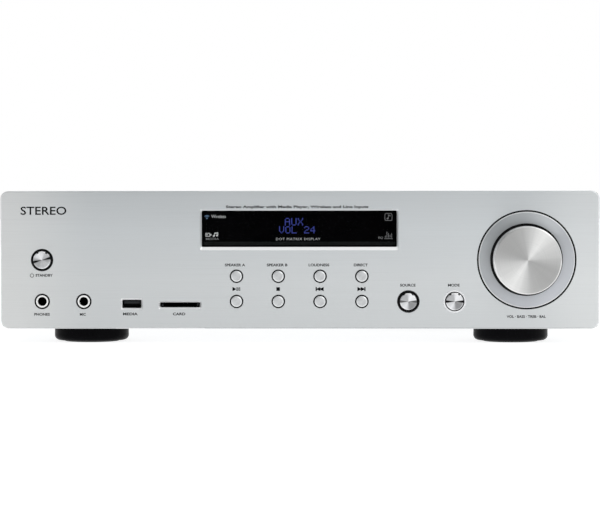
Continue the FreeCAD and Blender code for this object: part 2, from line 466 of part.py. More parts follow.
for x in (60.0, 92.0, 128.0, 160.0):
    b = box(x - 8, x + 8, 15, 20, 44, 65).cut(cyl_y(x, 60.0, 14, 21, 1.6))
    tr += [b.fuse([box(x + k - 0.5, x + k + 0.5, 17.0, 17.8, ZB1, 44.5) for k in (-5.0, 0.0, 5.0)])]
put("output_transistors", *tr)
put("speaker_relays", *[box(x, x + 28, 88, 101, ZB1, ZB1 + 16) for x in (-52.0, -18.0)])
put("wireless_module",
    box(78, 117, -112, -84, ZB0, ZB1).cut([cyl_z(x, y, ZB0 - 1, ZB1 + 1, 1.6) for x, y in STANDOFFS[6:]]),
    box(88, 107, -96, -86, ZB1, ZB1 + 2.2))

# ribbon cable from the control board to the main board, with a plug housing on each end
rx0, rx1 = -22.0, 6.0
yb = YC + T_PCB
zr = 54.0
path = Part.Wire([
    Part.LineSegment(V(0, yb + 6, zr), V(0, yb + 14, zr)).toShape(),
    Part.Arc(V(0, yb + 14, zr), V(0, yb + 14 + 8 * q, zr - 8 + 8 * q), V(0, yb + 22, zr - 8)).toShape(),
    Part.LineSegment(V(0, yb + 22, zr - 8), V(0, yb + 22, zr - 11)).toShape(),
    Part.Arc(V(0, yb + 22, zr - 11), V(0, yb + 30 - 8 * q, zr - 11 - 8 * q), V(0, yb + 30, zr - 19)).toShape(),
    Part.LineSegment(V(0, yb + 30, zr - 19), V(0, -64.0, zr - 19)).toShape()])
sec = Part.makePolygon([V(rx0 + 1.5, yb + 6, zr - 0.5), V(rx1 - 1.5, yb + 6, zr - 0.5), V(rx1 - 1.5, yb + 6, zr + 0.5),
                        V(rx0 + 1.5, yb + 6, zr + 0.5), V(rx0 + 1.5, yb + 6, zr - 0.5)])
ribbon = path.makePipeShell([sec], True, False)
put("ribbon_cable", ribbon, box(rx0, rx1, yb, yb + 6, zr - 3, zr + 3), box(rx0, rx1, -64, -57, ZB1, zr - 16))

# ---------------------------------------------------------------- rear connectors
block = box(TB[0] - 6, TB[1] + 6, YR, YR + 2.6, TB[2] - 3, TB[3] + 3)
block = block.makeFillet(2.5, [e for e in block.Edges if abs(e.Vertexes[0].Point.y - e.Vertexes[-1].Point.y) > 1])
block = block.fuse([box(TB[0], TB[1], YR - 10, YR + 0.5, TB[2], TB[3])]
                   + [cyl_y(x, z, YR + 2, YR + 5.0, 6.3) for x in TERM_X for z in TERM_Z])
block = block.cut([cyl_y(x, z, YR - 12, YR + 6, POST_R + 0.03) for x in TERM_X for z in TERM_Z]
                  + [cyl_y(x, z, YR - 1, YR + 4, 1.6) for x, z in TB_SCREWS]
                  + [box(TB[0] + 3, TB[1] - 3, YR - 11, YR - 7, 56.5, 61.5)]).removeSplitter()
put("speaker_terminal_block", block)
posts = []
for z in TERM_Z:
    for x in TERM_X:
        p = cyl_y(x, z, YR - 18, YR + 20.5, POST_R)
        p = p.fuse(hex_prism((x, YR - 14.2, z), (0, 1, 0), 4.2, 9.0)).removeSplitter()
        p = p.cut([cyl_y(x, z, YR + 20.5 - POST_BORE, YR + 21, POST_BORE_R),
                   cyl_z(x, YR + 6.7, z - 5, z + 5, 1.2),
                   cyl_y(x, z, YR - 19, YR - 15.5, 1.0)])
        posts.append(p)
put("terminal_posts", *posts)


def terminal_cap(x, z):
    y0, y1 = YR + 5.2, YR + TERM_OUT
    c = revolve_y([
        (POST_R + 0.04, y0), (TCAP_R - 0.7, y0), (TCAP_R, y0 + 0.7), (TCAP_R, y1 - 1.2), (TCAP_R - 1.2, y1),
        (POST_R + 0.6, y1), (POST_R + 0.04, y1 - 0.6)], x, z)
    flutes = [cyl_y(x + 7.0 * math.cos(a), z + 7.0 * math.sin(a), y0 + 4.0, y1 + 1, 1.1)
              for a in [i * math.pi / 5 for i in range(10)]]
    return c.cut(flutes)


TERM_NAMES = ("right_minus", "right_plus", "left_minus", "left_plus")
for row, z in zip("ab", TERM_Z):
    for n, x in zip(TERM_NAMES, TERM_X):
        put("terminal_cap_%s_%s" % (row, n), terminal_cap(x, z))

pblock = box(PB[0], PB[1], YR - 10, YR - T_SHEET, PB[2], PB[3]).fuse(
    [cyl_y(x, z, YR - 1.5, YR + 0.9, 5.4) for x in PHONO_X for z in PHONO_Z])
pblock = pblock.cut([cyl_y(x, z, YR - 11, YR + 2, PHONO_BASE_R + 0.03) for x in PHONO_X for z in PHONO_Z]
                    + [cyl_y(x, z, YR - 8, YR + 2, 1.55) for x, z in PB_SCREWS]).removeSplitter()
put("phono_block", pblock)
sock = []
for z in PHONO_Z:
    for x in PHONO_X:
        sock.append(revolve_y([
            (3.6, YR - 8), (PHONO_BASE_R, YR - 8), (PHONO_BASE_R, YR + 0.9), (PHONO_R, YR + 0.9), (PHONO_R, YR + 8.7), (PHONO_R - 0.3, YR + 9.0), (3.6, YR + 9.0)], x, z))
        sock.append(revolve_y([
            (0, YR - 10), (3.55, YR - 10), (3.55, YR + 8.2), (1.7, YR + 8.2), (1.7, YR - 5), (0, YR - 5)], x, z))
put("phono_sockets", *sock)
put("input_board", box(48, 172, YR - 11.6, YR - 10, 30, 84))

ix, iz = INLET_X, INLET_Z
inlet = rbox(ix - 15.5, ix + 15.5, YR, YR + 2.8, iz - 11.7, iz + 11.7, 2.0).fuse(
    box(ix - 13.4, ix + 13.4, YR - 15.5, YR + 0.5, iz - 9.9, iz + 9.9))
cav = box(ix - 12.1, ix + 12.1, YR - 12.5, YR + 4, iz - 8.4, iz + 8.4)
ch = [e for e in cav.Edges if abs(e.Vertexes[0].Point.y - e.Vertexes[-1].Point.y) > 1 and e.Vertexes[0].Point.z > iz]
cav = cav.makeChamfer(4.2, ch)
inlet = inlet.cut(cav).removeSplitter()
pins = [box(ix - 8, ix - 6, YR - 12.5, YR + 0.6, iz - 4.0, iz), box(ix + 6, ix + 8, YR - 12.5, YR + 0.6, iz - 4.0, iz),
        box(ix - 1, ix + 1, YR - 12.5, YR + 1.2, iz + 0.5, iz + 4.5)]
tags = [box(ix - 8, ix - 7.2, YR - 24, YR - 15.5, iz - 5, iz + 1), box(ix + 7.2, ix + 8, YR - 24, YR - 15.5, iz - 5, iz + 1),
        box(ix - 0.4, ix + 0.4, YR - 24, YR - 15.5, iz - 0.5, iz + 5.5)]
put("mains_inlet", inlet, *(pins + tags))

# ---------------------------------------------------------------- fasteners
put("case_screws",
    *([pan_screw((s * W_COVER / 2, y, 23), (s, 0, 0), 2.8, 1.7, 1.5, 7.0) for s in (-1, 1) for y in SIDE_SCREWS]
      + [pan_screw((x, YR + T_SHEET, 99.5), (0, 1, 0), 2.8, 1.7, 1.5, 7.0) for x in COVER_REAR_SCREWS]
      + [pan_screw((x, YR + 2.6, z), (0, 1, 0), 2.8, 1.7, 1.5, 7.0) for x, z in TB_SCREWS]
      + [pan_screw((x, YR, z), (0, 1, 0), 2.8, 1.7, 1.5, 7.0) for x, z in PB_SCREWS]))
put("bottom_screws",
    *([pan_screw((x, y, Z_FLOOR), (0, 0, -1), 2.8, 1.7, 1.5, 3.8) for x, y in LIP_SCREWS]
      + [pan_screw((x, y, Z_FLOOR), (0, 0, -1), 2.8, 1.7, 1.5, 5.0) for x, y in REAR_LIP_SCREWS]
      + [pan_screw((x, y, Z_FLOOR), (0, 0, -1), 2.8, 1.7, 1.5, 5.0) for x, y in STANDOFFS]))
put("internal_screws",
    *([pan_screw((x, YM, z), (0, 1, 0), 2.7, 1.7, 1.5, 4.9) for x, z in PANEL_SCREWS]
      + [pan_screw((x, YC + T_PCB, z), (0, 1, 0), 2.7, 1.7, 1.25, 6.5) for x, z in PCB_BOSSES]
      + [pan_screw((x, y, ZB1), (0, 0, 1), 2.7, 1.7, 1.5, 3.9) for x, y in STANDOFFS]
      + [pan_screw((x, 15.0, 60.0), (0, -1, 0), 2.7, 1.7, 1.25, 9.0) for x in (60.0, 92.0, 128.0, 160.0)]))

print(len(made), "nodes")
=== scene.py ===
import math

import bpy
import bmesh
from mathutils import Matrix, Vector


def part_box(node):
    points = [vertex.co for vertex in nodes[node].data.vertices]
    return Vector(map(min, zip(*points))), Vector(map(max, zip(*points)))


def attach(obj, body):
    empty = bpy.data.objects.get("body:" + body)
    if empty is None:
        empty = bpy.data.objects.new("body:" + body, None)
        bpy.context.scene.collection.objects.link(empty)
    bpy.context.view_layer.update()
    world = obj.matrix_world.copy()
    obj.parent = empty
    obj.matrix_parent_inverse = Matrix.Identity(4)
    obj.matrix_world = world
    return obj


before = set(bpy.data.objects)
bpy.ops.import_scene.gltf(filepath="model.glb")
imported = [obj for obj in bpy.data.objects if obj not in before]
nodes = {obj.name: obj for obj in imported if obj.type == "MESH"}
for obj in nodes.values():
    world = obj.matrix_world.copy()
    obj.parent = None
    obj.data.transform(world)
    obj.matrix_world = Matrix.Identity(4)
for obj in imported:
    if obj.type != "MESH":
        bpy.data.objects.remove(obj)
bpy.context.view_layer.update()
scene = bpy.context.scene

# ------------------------------------------------------------------ places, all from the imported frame
MM = 0.001
panel_lo, panel_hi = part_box("front_panel")
YF = panel_lo.y                      # front face of the panel
YB = panel_hi.y                      # back face of the panel
ZP = panel_lo.z                      # underside of the panel
XH = panel_hi.x                      # half width
win_lo, win_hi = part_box("display_window")
mod_lo, mod_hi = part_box("display_module")
rear_lo, rear_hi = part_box("rear_panel")
YR = rear_hi.y
knob_lo, knob_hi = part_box("volume_knob")
VOL = Vector(((knob_lo.x + knob_hi.x) / 2, YF, (knob_lo.z + knob_hi.z) / 2))


def centre(node):
    a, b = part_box(node)
    return (a + b) / 2


# ------------------------------------------------------------------ node helpers
class Tree:
    def __init__(self, name):
        self.mat = bpy.data.materials.new(name)
        self.mat.use_nodes = True
        self.nt = self.mat.node_tree
        self.nt.nodes.clear()
        self.out = self.nt.nodes.new("ShaderNodeOutputMaterial")
        self.bsdf = self.nt.nodes.new("ShaderNodeBsdfPrincipled")
        self.link(self.bsdf.outputs[0], self.out.inputs["Surface"])
        self.coord = self.nt.nodes.new("ShaderNodeTexCoord")

    def link(self, a, b):
        self.nt.links.new(a, b)

    def set(self, **kw):
        for k, v in kw.items():
            self.bsdf.inputs[k.replace("_", " ")].default_value = v

    def mapped(self, scale=(1, 1, 1), loc=(0, 0, 0), rot=(0, 0, 0)):
        m = self.nt.nodes.new("ShaderNodeMapping")
        m.inputs["Scale"].default_value = scale
        m.inputs["Location"].default_value = loc
        m.inputs["Rotation"].default_value = rot
        self.link(self.coord.outputs["Object"], m.inputs["Vector"])
        return m.outputs[0]

    def noise(self, vec, scale=1.0, detail=3.0, rough=0.55, dist=0.0):
        n = self.nt.nodes.new("ShaderNodeTexNoise")
        n.inputs["Scale"].default_value = scale
        n.inputs["Detail"].default_value = detail
        n.inputs["Roughness"].default_value = rough
        n.inputs["Distortion"].default_value = dist
        self.link(vec, n.inputs["Vector"])
        return n.outputs["Fac"]

    def voronoi(self, vec, scale=1.0, feature="F1"):
        n = self.nt.nodes.new("ShaderNodeTexVoronoi")
        n.feature = feature
        n.inputs["Scale"].default_value = scale
        self.link(vec, n.inputs["Vector"])
        return n.outputs["Distance"]

    def math(self, op, a, b=None, c=None, clamp=False):
        n = self.nt.nodes.new("ShaderNodeMath")
        n.operation = op
        n.use_clamp = clamp
        for i, v in enumerate((a, b, c)):
            if v is None:
                continue
            if isinstance(v, (int, float)):
                n.inputs[i].default_value = v
            else:
                self.link(v, n.inputs[i])
        return n.outputs[0]

    def ramp(self, fac, stops, interp="LINEAR"):
        n = self.nt.nodes.new("ShaderNodeValToRGB")
        n.color_ramp.interpolation = interp
        e = n.color_ramp.elements
        while len(e) > 1:
            e.remove(e[-1])
        for i, (p, c) in enumerate(stops):
            el = e[0] if i == 0 else e.new(p)
            el.position = p
            col = (c, c, c, 1) if isinstance(c, (int, float)) else tuple(c) + (1,)
            el.color = col
        self.link(fac, n.inputs["Fac"])
        return n.outputs["Color"]

    def maprange(self, v, a, b, c, d, smooth=False):
        n = self.nt.nodes.new("ShaderNodeMapRange")
        if smooth:
            n.interpolation_type = "SMOOTHSTEP"
        for i, x in enumerate((v, a, b, c, d)):
            if isinstance(x, (int, float)):
                n.inputs[i].default_value = x
            else:
                self.link(x, n.inputs[i])
        return n.outputs[0]

    def mix(self, fac, a, b, blend="MIX"):
        n = self.nt.nodes.new("ShaderNodeMix")
        n.data_type = "RGBA"
        n.blend_type = blend
        for sock, v in ((n.inputs[0], fac), (n.inputs[6], a), (n.inputs[7], b)):
            if isinstance(v, (int, float)):
                sock.default_value = v if sock == n.inputs[0] else (v, v, v, 1)
            elif isinstance(v, (tuple, list)):
                sock.default_value = tuple(v) + ((1,) if len(v) == 3 else ())
            else:
                self.link(v, sock)
        return n.outputs[2]

    def xyz(self, vec=None):
        n = self.nt.nodes.new("ShaderNodeSeparateXYZ")
        self.link(vec if vec is not None else self.coord.outputs["Object"], n.inputs[0])
        return n.outputs[0], n.outputs[1], n.outputs[2]

    def bump(self, height, strength=0.2, distance=0.0001, normal=None):
        n = self.nt.nodes.new("ShaderNodeBump")
        n.inputs["Strength"].default_value = strength
        n.inputs["Distance"].default_value = distance
        self.link(height, n.inputs["Height"])
        if normal is not None:
            self.link(normal, n.inputs["Normal"])
        self.link(n.outputs[0], self.bsdf.inputs["Normal"])
        return n.outputs[0]

    def colour(self, sock):
        self.link(sock, self.bsdf.inputs["Base Color"])

    def rough(self, sock):
        self.link(sock, self.bsdf.inputs["Roughness"])


def srgb(r, g, b):
    return tuple(((v / 255 + 0.055) / 1.055) ** 2.4 if v > 10 else v / 255 / 12.92 for v in (r, g, b))


# ------------------------------------------------------------------ materials
# painted shade on the plate by height, and painted light on its two ends
FASCIA_SHADE_TONE = [(0.0, srgb(222, 225, 226)), (0.35, srgb(228, 231, 232)), (0.7, srgb(225, 229, 231)), (1.0, srgb(215, 219, 221))]
FASCIA_END_LIGHT = srgb(243, 244, 243)
# painted shade and light on the dished ring, darker at its upper left and lighter at its lower right
DISH_SHADE_TONE = [(0.0, srgb(200, 204, 206)), (0.5, srgb(208, 211, 215)), (1.0, srgb(226, 229, 235))]
BLACK = (0.003, 0.003, 0.0035)


def mat_fascia():
    t = Tree("fascia_brushed")
    t.set(Metallic=1.0, Anisotropic=0.85, Anisotropic_Rotation=0.25)
    x, y, z = t.xyz()
    fine = t.noise(t.mapped((26.0, 1.0, 5200.0)), 1.0, 2.0, 0.6)
    mid = t.noise(t.mapped((9.0, 1.0, 1500.0), loc=(3.1, 0, 7.7)), 1.0, 3.0, 0.6)
    broad = t.noise(t.mapped((6.0, 1.0, 14.0), loc=(1.3, 0, 2.2)), 1.0, 1.0, 0.4)
    grain = t.math("ADD", t.math("MULTIPLY", fine, 0.55), t.math("MULTIPLY", mid, 0.45))
    # painted shade and light: the anodised plate is painted a little darker towards its top edge and lighter at its two
    # ends, for how the light falls on it
    height = t.maprange(z, ZP, ZP + 0.099, 0.0, 1.0)
    side = t.math("ADD", t.maprange(x, 0.15, 0.215, 0.0, 0.35, smooth=True), t.maprange(x, -0.215, -0.14, 0.75, 0.0, smooth=True))
    base = t.ramp(height, FASCIA_SHADE_TONE)
    base = t.mix(side, base, FASCIA_END_LIGHT)
    base = t.mix(1.0, base, t.ramp(grain, [(0.25, 0.93), (0.5, 0.985), (0.75, 1.0)]), "MULTIPLY")
    base = t.mix(1.0, base, t.ramp(broad, [(0.3, 0.975), (0.7, 1.0)]), "MULTIPLY")
    # painted shade: the walls of its openings, below their softened edges, are painted black for the shade inside them
    inner = t.math("MULTIPLY", t.math("LESS_THAN", t.math("ABSOLUTE", x), 0.2138),
                   t.math("MULTIPLY", t.math("GREATER_THAN", z, ZP + 0.0012), t.math("LESS_THAN", z, ZP + 0.0978)))
    win = t.math("MULTIPLY", t.math("LESS_THAN", t.math("ABSOLUTE", x), 0.0722), t.math("GREATER_THAN", z, ZP + 0.0550))
    key = t.math("MULTIPLY", t.math("LESS_THAN", t.math("ABSOLUTE", t.math("SUBTRACT", z, ZP + 0.0286)), 0.0128),
                 t.math("LESS_THAN", t.math("ABSOLUTE", x), 0.056))
    port = t.math("MULTIPLY", t.math("LESS_THAN", z, ZP + 0.0235),
                  t.math("MULTIPLY", t.math("GREATER_THAN", x, -0.132), t.math("LESS_THAN", x, -0.068)))
    limit = t.math("ADD", 0.00035, t.math("ADD", t.math("MULTIPLY", win, 0.00102), t.math("MULTIPLY", port, 0.00104)))
    limit = t.math("SUBTRACT", limit, t.math("MULTIPLY", key, 0.00020))
    recess_shade = t.math("MULTIPLY", t.math("GREATER_THAN", t.math("SUBTRACT", y, YF), limit), inner)
    # painted highlight: the milled bevels of the window and of the two media openings are painted lighter and less
    # metallic for the light they catch, the lower edge of the window most
    bevel_highlight = t.math("MULTIPLY", t.math("GREATER_THAN", t.math("SUBTRACT", y, YF), 0.00004), t.math("MAXIMUM", win, port))
    sill_highlight = t.math("MULTIPLY", win, t.math("MULTIPLY", t.math("LESS_THAN", z, ZP + 0.05872), t.math("LESS_THAN", t.math("ABSOLUTE", x), 0.0709)))
    base = t.mix(t.math("MULTIPLY", bevel_highlight, t.math("ADD", t.math("ADD", 0.15, t.math("MULTIPLY", port, 0.5)), t.math("MULTIPLY", sill_highlight, 0.85))), base, (0.99, 0.993, 0.997))
    # painted shade: its rounded top and bottom edges are painted a little darker, the bottom one most
    base = t.mix(t.math("MULTIPLY", t.math("GREATER_THAN", z, ZP + 0.0981), 0.10), base, (0.2, 0.2, 0.2))
    base = t.mix(t.math("MULTIPLY", t.math("LESS_THAN", z, ZP + 0.0011), 0.22), base, (0.2, 0.2, 0.2))
    # painted shade blackens the opening walls
    t.colour(t.mix(recess_shade, base, BLACK))
    # painted highlight: the same bevels are made less metallic so they read lighter
    t.link(t.math("SUBTRACT", 1.0, t.math("MULTIPLY", bevel_highlight, t.math("ADD", 0.30, t.math("MULTIPLY", sill_highlight, 0.25)))), t.bsdf.inputs["Metallic"])
    t.rough(t.maprange(grain, 0.2, 0.8, 0.36, 0.46))
    t.bump(grain, 0.12, 0.00003)
    return t.mat


def radial(t, cx, cz):
    """Radius and angle about the Y-parallel axis through (cx, cz), in metres and turns."""
    x, y, z = t.xyz()
    dx = t.math("SUBTRACT", x, cx)
    dz = t.math("SUBTRACT", z, cz)
    r = t.math("SQRT", t.math("ADD", t.math("MULTIPLY", dx, dx), t.math("MULTIPLY", dz, dz)))
    a = t.math("ARCTAN2", dz, dx)
    return r, a, y


def spun(t):
    """Grooves run round the Y-parallel axis through the middle of the piece, so its gloss spreads outwards from it."""
    tan = t.nt.nodes.new("ShaderNodeTangent")
    tan.direction_type = "RADIAL"
    tan.axis = "Y"
    t.link(tan.outputs[0], t.bsdf.inputs["Tangent"])


def turned(name, cx, cz, tone, roughness=0.34, anis=0.9, ring=2600.0, skirt_shade=None, sector_reflection=0.0, wedge_reflection=0.0, lean=0.0, cross=0.0,
           shine_highlight=0.0, rim_reflection=None, flat=None, lip_highlight=None, hem_shade=None):
    """Lathe-turned metal with fine concentric lines and painted reflections. sector_reflection paints the soft light
    and dark quarters of a spun face, wedge_reflection the painted dark reflection lines across the middle of a dished
    one, turned by lean and cross degrees, and shine_highlight its two painted bright lines. rim_reflection is the
    radius where the polished edge with its painted reflection starts, flat the radius of a middle painted darker as
    shade, lip_highlight that of a painted bright outermost line, hem_shade that of a painted dark one for the shade of
    the gap, and skirt_shade the depth behind which it is painted black as shade."""
    t = Tree(name)
    t.set(Metallic=1.0, Anisotropic=anis, Anisotropic_Rotation=0.25)
    r, a, y = radial(t, cx, cz)
    comb = t.nt.nodes.new("ShaderNodeCombineXYZ")
    t.link(t.math("MULTIPLY", r, ring), comb.inputs[0])
    t.link(t.math("MULTIPLY", y, ring * 0.5), comb.inputs[1])
    lines = t.noise(comb.outputs[0], 1.0, 2.0, 0.6)
    round_ = t.nt.nodes.new("ShaderNodeCombineXYZ")
    t.link(t.math("MULTIPLY", t.math("COSINE", a), 3.0), round_.inputs[0])
    t.link(t.math("MULTIPLY", t.math("SINE", a), 3.0), round_.inputs[1])
    streak = t.noise(round_.outputs[0], 2.2, 4.0, 0.65)
    base = t.ramp(streak, [(0.3, tuple(v * 0.94 for v in tone)), (0.7, tone)])
    base = t.mix(1.0, base, t.ramp(lines, [(0.3, 0.96), (0.6, 1.0)]), "MULTIPLY")
    if sector_reflection:
        # painted reflection: upper right and lower left painted lighter, the other two quarters painted darker, with
        # edges that stay soft
        q = t.math("MULTIPLY", t.math("SINE", t.math("MULTIPLY", t.math("SUBTRACT", a, math.radians(lean)), 2.0)), 1.6)
        q = t.maprange(q, -1.0, 1.0, 1.0 - sector_reflection, 1.0, smooth=True)
        base = t.mix(1.0, base, t.ramp(q, [(0.0, 0.0), (1.0, 1.0)]), "MULTIPLY")
    # painted reflection: thin dark lines across the middle
    if wedge_reflection:
        w = t.math("ABSOLUTE", t.math("SINE", t.math("SUBTRACT", a, math.radians(cross))))
        w = t.maprange(w, 0.07, 0.25, 1.0 - wedge_reflection, 1.0, smooth=True)
        base = t.mix(1.0, base, t.ramp(w, [(0.0, 0.0), (1.0, 1.0)]), "MULTIPLY")
    # painted highlight: two bright lines
    if shine_highlight:
        w = t.math("ABSOLUTE", t.math("COSINE", t.math("SUBTRACT", a, math.radians(cross + 15))))
        base = t.mix(t.maprange(w, 0.10, 0.26, shine_highlight, 0.0, smooth=True), base, (0.97, 0.97, 0.97))
    # painted shade: the middle is painted a little darker
    if flat:
        base = t.mix(t.math("MULTIPLY", t.math("LESS_THAN", r, flat), 0.12), base, (0.25, 0.25, 0.26))
    if rim_reflection:
        # painted reflection: the polished edge is painted with a bright roof straight above it and the dark beside it
        up = t.math("SINE", a)
        spot = t.math("MULTIPLY", t.maprange(up, 0.74, 0.82, 0.0, 1.0, smooth=True), t.maprange(up, 0.88, 0.93, 1.0, 0.0, smooth=True))
        roof = t.maprange(up, 0.89, 0.94, 0.0, 1.0, smooth=True)
        edge = t.math("GREATER_THAN", r, rim_reflection)
        base = t.mix(t.math("MULTIPLY", edge, roof), base, (0.98, 0.98, 0.98))
        base = t.mix(t.math("MULTIPLY", edge, spot), base, BLACK)
    # painted highlight: a bright outermost line
    if lip_highlight:
        base = t.mix(t.math("MULTIPLY", t.math("GREATER_THAN", r, lip_highlight), 0.35), base, (0.97, 0.97, 0.97))
    # painted shade: the outermost ring is painted black for the shade of the gap around the piece
    if hem_shade:
        base = t.mix(t.math("GREATER_THAN", r, hem_shade), base, BLACK)
    # painted shade: everything behind the given depth is painted black
    if skirt_shade is not None:
        base = t.mix(t.math("GREATER_THAN", y, YF + skirt_shade), base, BLACK)
    t.colour(base)
    t.rough(t.maprange(lines, 0.2, 0.8, roughness - 0.04, roughness + 0.06))
    t.bump(lines, 0.06, 0.00002)
    spun(t)
    return t.mat


def mat_dish():
    """The dished ring: turned, with painted shade and light in a slow change of tone from its darker upper left to its
    lighter lower right.
    """
    t = Tree("dish_turned")
    t.set(Metallic=0.55, Specular_IOR_Level=0.3, Anisotropic=0.6, Anisotropic_Rotation=0.25)
    r, a, y = radial(t, VOL.x, VOL.z)
    comb = t.nt.nodes.new("ShaderNodeCombineXYZ")
    t.link(t.math("MULTIPLY", r, 3000.0), comb.inputs[0])
    lines = t.noise(comb.outputs[0], 1.0, 2.0, 0.6)
    q = t.math("COSINE", t.math("ADD", a, math.radians(52)))
    # painted shade: the tone falls off towards the inner edge on the upper left, for the knob's shade
    q = t.math("SUBTRACT", q, t.math("MULTIPLY", t.maprange(r, 0.0256, 0.0320, 1.0, 0.0), 0.25))
    q = t.maprange(q, -1.3, 1.0, 0.0, 1.0)
    base = t.ramp(q, DISH_SHADE_TONE)
    base = t.mix(1.0, base, t.ramp(lines, [(0.3, 0.96), (0.6, 1.0)]), "MULTIPLY")
    # painted highlight: a thin bright line is painted just inside its outer edge
    base = t.mix(t.math("MULTIPLY", t.math("GREATER_THAN", r, 0.0337), 0.7), base, (0.96, 0.965, 0.97))
    # painted shade: its hidden side wall and flange, a thin ring at the outer edge of its face, the bore behind its
    # inner edge and all behind a given depth are painted black for the shade in the gaps
    back = t.math("MAXIMUM", t.math("GREATER_THAN", r, 0.03438),
                  t.math("MAXIMUM", t.math("GREATER_THAN", y, YF + 0.00345), t.math("LESS_THAN", r, 0.02600)))
    t.colour(t.mix(back, base, BLACK))
    t.rough(t.maprange(lines, 0.2, 0.8, 0.36, 0.44))
    t.bump(lines, 0.05, 0.00002)
    spun(t)
    return t.mat


def mat_rings(name, cx, cz, split, outer, inner):
    """A plated ring, painted dark inside the radius split for the shade of the gap within it."""
    t = Tree(name)
    t.set(Metallic=0.35, Specular_IOR_Level=0.3)
    r, a, y = radial(t, cx, cz)
    n = t.noise(t.mapped(), 1500.0, 3.0, 0.6)
    plate = t.ramp(n, [(0.3, tuple(v * 0.95 for v in outer)), (0.7, outer)])
    # painted shade: the inner step of the ring is painted dark
    t.colour(t.mix(t.math("LESS_THAN", r, split), plate, inner))
    t.rough(t.maprange(n, 0.25, 0.75, 0.16, 0.26))
    t.bump(n, 0.08, 0.00002)
    return t.mat


def mat_metal(name, col, rough=0.3, grain=900.0, var=0.06, metal=1.0):
    t = Tree(name)
    t.set(Metallic=metal)
    n = t.noise(t.mapped(), grain, 3.0, 0.6)
    big = t.noise(t.mapped(), 38.0, 2.0, 0.5)
    lo = tuple(c * (1 - 2 * var) for c in col)
    t.colour(t.mix(t.math("MULTIPLY", big, 0.8), t.ramp(n, [(0.3, lo), (0.7, col)]), col))
    t.rough(t.maprange(n, 0.25, 0.75, max(0.03, rough - 0.07), rough + 0.09))
    t.bump(n, 0.1, 0.00003)
    return t.mat


def mat_plastic(name, col, rough=0.45, grain=1400.0, depth=0.00004, strength=0.25, var=0.25, coat=0.0, gloss=0.5):
    t = Tree(name)
    t.set(Specular_IOR_Level=gloss)
    if coat:
        t.set(Coat_Weight=coat, Coat_Roughness=0.06)
    n = t.noise(t.mapped(), grain, 2.0, 0.55)
    big = t.noise(t.mapped(), 26.0, 3.0, 0.55)
    hi = tuple(min(1.0, c * (1 + 1.4 * var)) for c in col)
    t.colour(t.mix(t.maprange(big, 0.3, 0.7, 0.0, 1.0), t.ramp(n, [(0.3, tuple(c * (1 - var) for c in col)), (0.7, col)]), hi))
    t.rough(t.maprange(big, 0.3, 0.7, max(0.03, rough - 0.05), rough + 0.06))
    t.bump(n, strength, depth)
    return t.mat


def mat_textured_paint():
    """Fine leatherette-grain black powder coat."""
    t = Tree("black_textured_paint")
    t.set(Specular_IOR_Level=0.35)
    v = t.voronoi(t.mapped(), 1500.0)
    n = t.noise(t.mapped(), 2600.0, 2.0, 0.6)
    big = t.noise(t.mapped(), 14.0, 3.0, 0.55)
    g = t.math("ADD", t.math("MULTIPLY", v, 0.7), t.math("MULTIPLY", n, 0.5))
    t.colour(t.mix(big, t.ramp(g, [(0.3, (0.008, 0.008, 0.009)), (0.8, (0.020, 0.020, 0.022))]), (0.016, 0.016, 0.018)))
    t.rough(t.maprange(g, 0.3, 0.9, 0.42, 0.62))
    t.bump(g, 0.45, 0.00010)
    return t.mat


def mat_window():
    t = Tree("window_tinted_acrylic")
    n = t.noise(t.mapped(), 30.0, 3.0, 0.5)
    t.colour(t.ramp(n, [(0.3, (0.0012, 0.0012, 0.0014)), (0.7, (0.0024, 0.0024, 0.0028))]))
    t.rough(t.maprange(n, 0.3, 0.7, 0.04, 0.08))
    t.set(Alpha=0.40, Specular_IOR_Level=0.0)
    t.mat.blend_method = "BLEND"
    return t.mat


def mat_print(name, col, emit=0.0, rough=0.5):
    t = Tree(name)
    n = t.noise(t.mapped(), 5200.0, 2.0, 0.6)
    c = t.ramp(n, [(0.3, tuple(v * 0.86 for v in col)), (0.7, col)])
    t.colour(c)
    t.rough(t.maprange(n, 0.3, 0.7, rough - 0.06, rough + 0.06))
    if emit:
        t.link(c, t.bsdf.inputs["Emission Color"])
        t.set(Emission_Strength=emit)
    t.set(Specular_IOR_Level=0.06)
    return t.mat


def mat_board():
    t = Tree("board_green_resist")
    t.set(Coat_Weight=0.4, Coat_Roughness=0.15)
    grid = t.voronoi(t.mapped((1, 1, 1)), 320.0)
    n = t.noise(t.mapped(), 700.0, 2.0, 0.6)
    t.colour(t.ramp(t.math("ADD", t.math("MULTIPLY", grid, 0.8), t.math("MULTIPLY", n, 0.3)),
                    [(0.25, (0.35, 0.36, 0.34)), (0.30, (0.012, 0.10, 0.035)), (0.62, (0.008, 0.07, 0.022)), (0.68, (0.02, 0.16, 0.055))]))
    t.rough(t.maprange(n, 0.2, 0.8, 0.3, 0.5))
    t.bump(n, 0.1, 0.00003)
    return t.mat


def mat_winding():
    """Ring transformer wrapped in overlapping amber tape."""
    t = Tree("winding_amber_tape")
    t.set(Coat_Weight=0.35, Coat_Roughness=0.2)
    c = centre("transformer")
    x, y, z = t.xyz()
    a = t.math("ARCTAN2", t.math("SUBTRACT", y, c.y), t.math("SUBTRACT", x, c.x))
    w = t.math("SINE", t.math("ADD", t.math("MULTIPLY", a, 46.0), t.math("MULTIPLY", z, 260.0)))
    n = t.noise(t.mapped(), 180.0, 3.0, 0.55)
    t.colour(t.mix(t.maprange(w, -1, 1, 0, 1), (0.30, 0.085, 0.012), t.ramp(n, [(0.3, (0.42, 0.14, 0.02)), (0.7, (0.55, 0.20, 0.04))])))
    t.rough(t.maprange(n, 0.3, 0.7, 0.3, 0.45))
    t.bump(w, 0.35, 0.0002)
    return t.mat


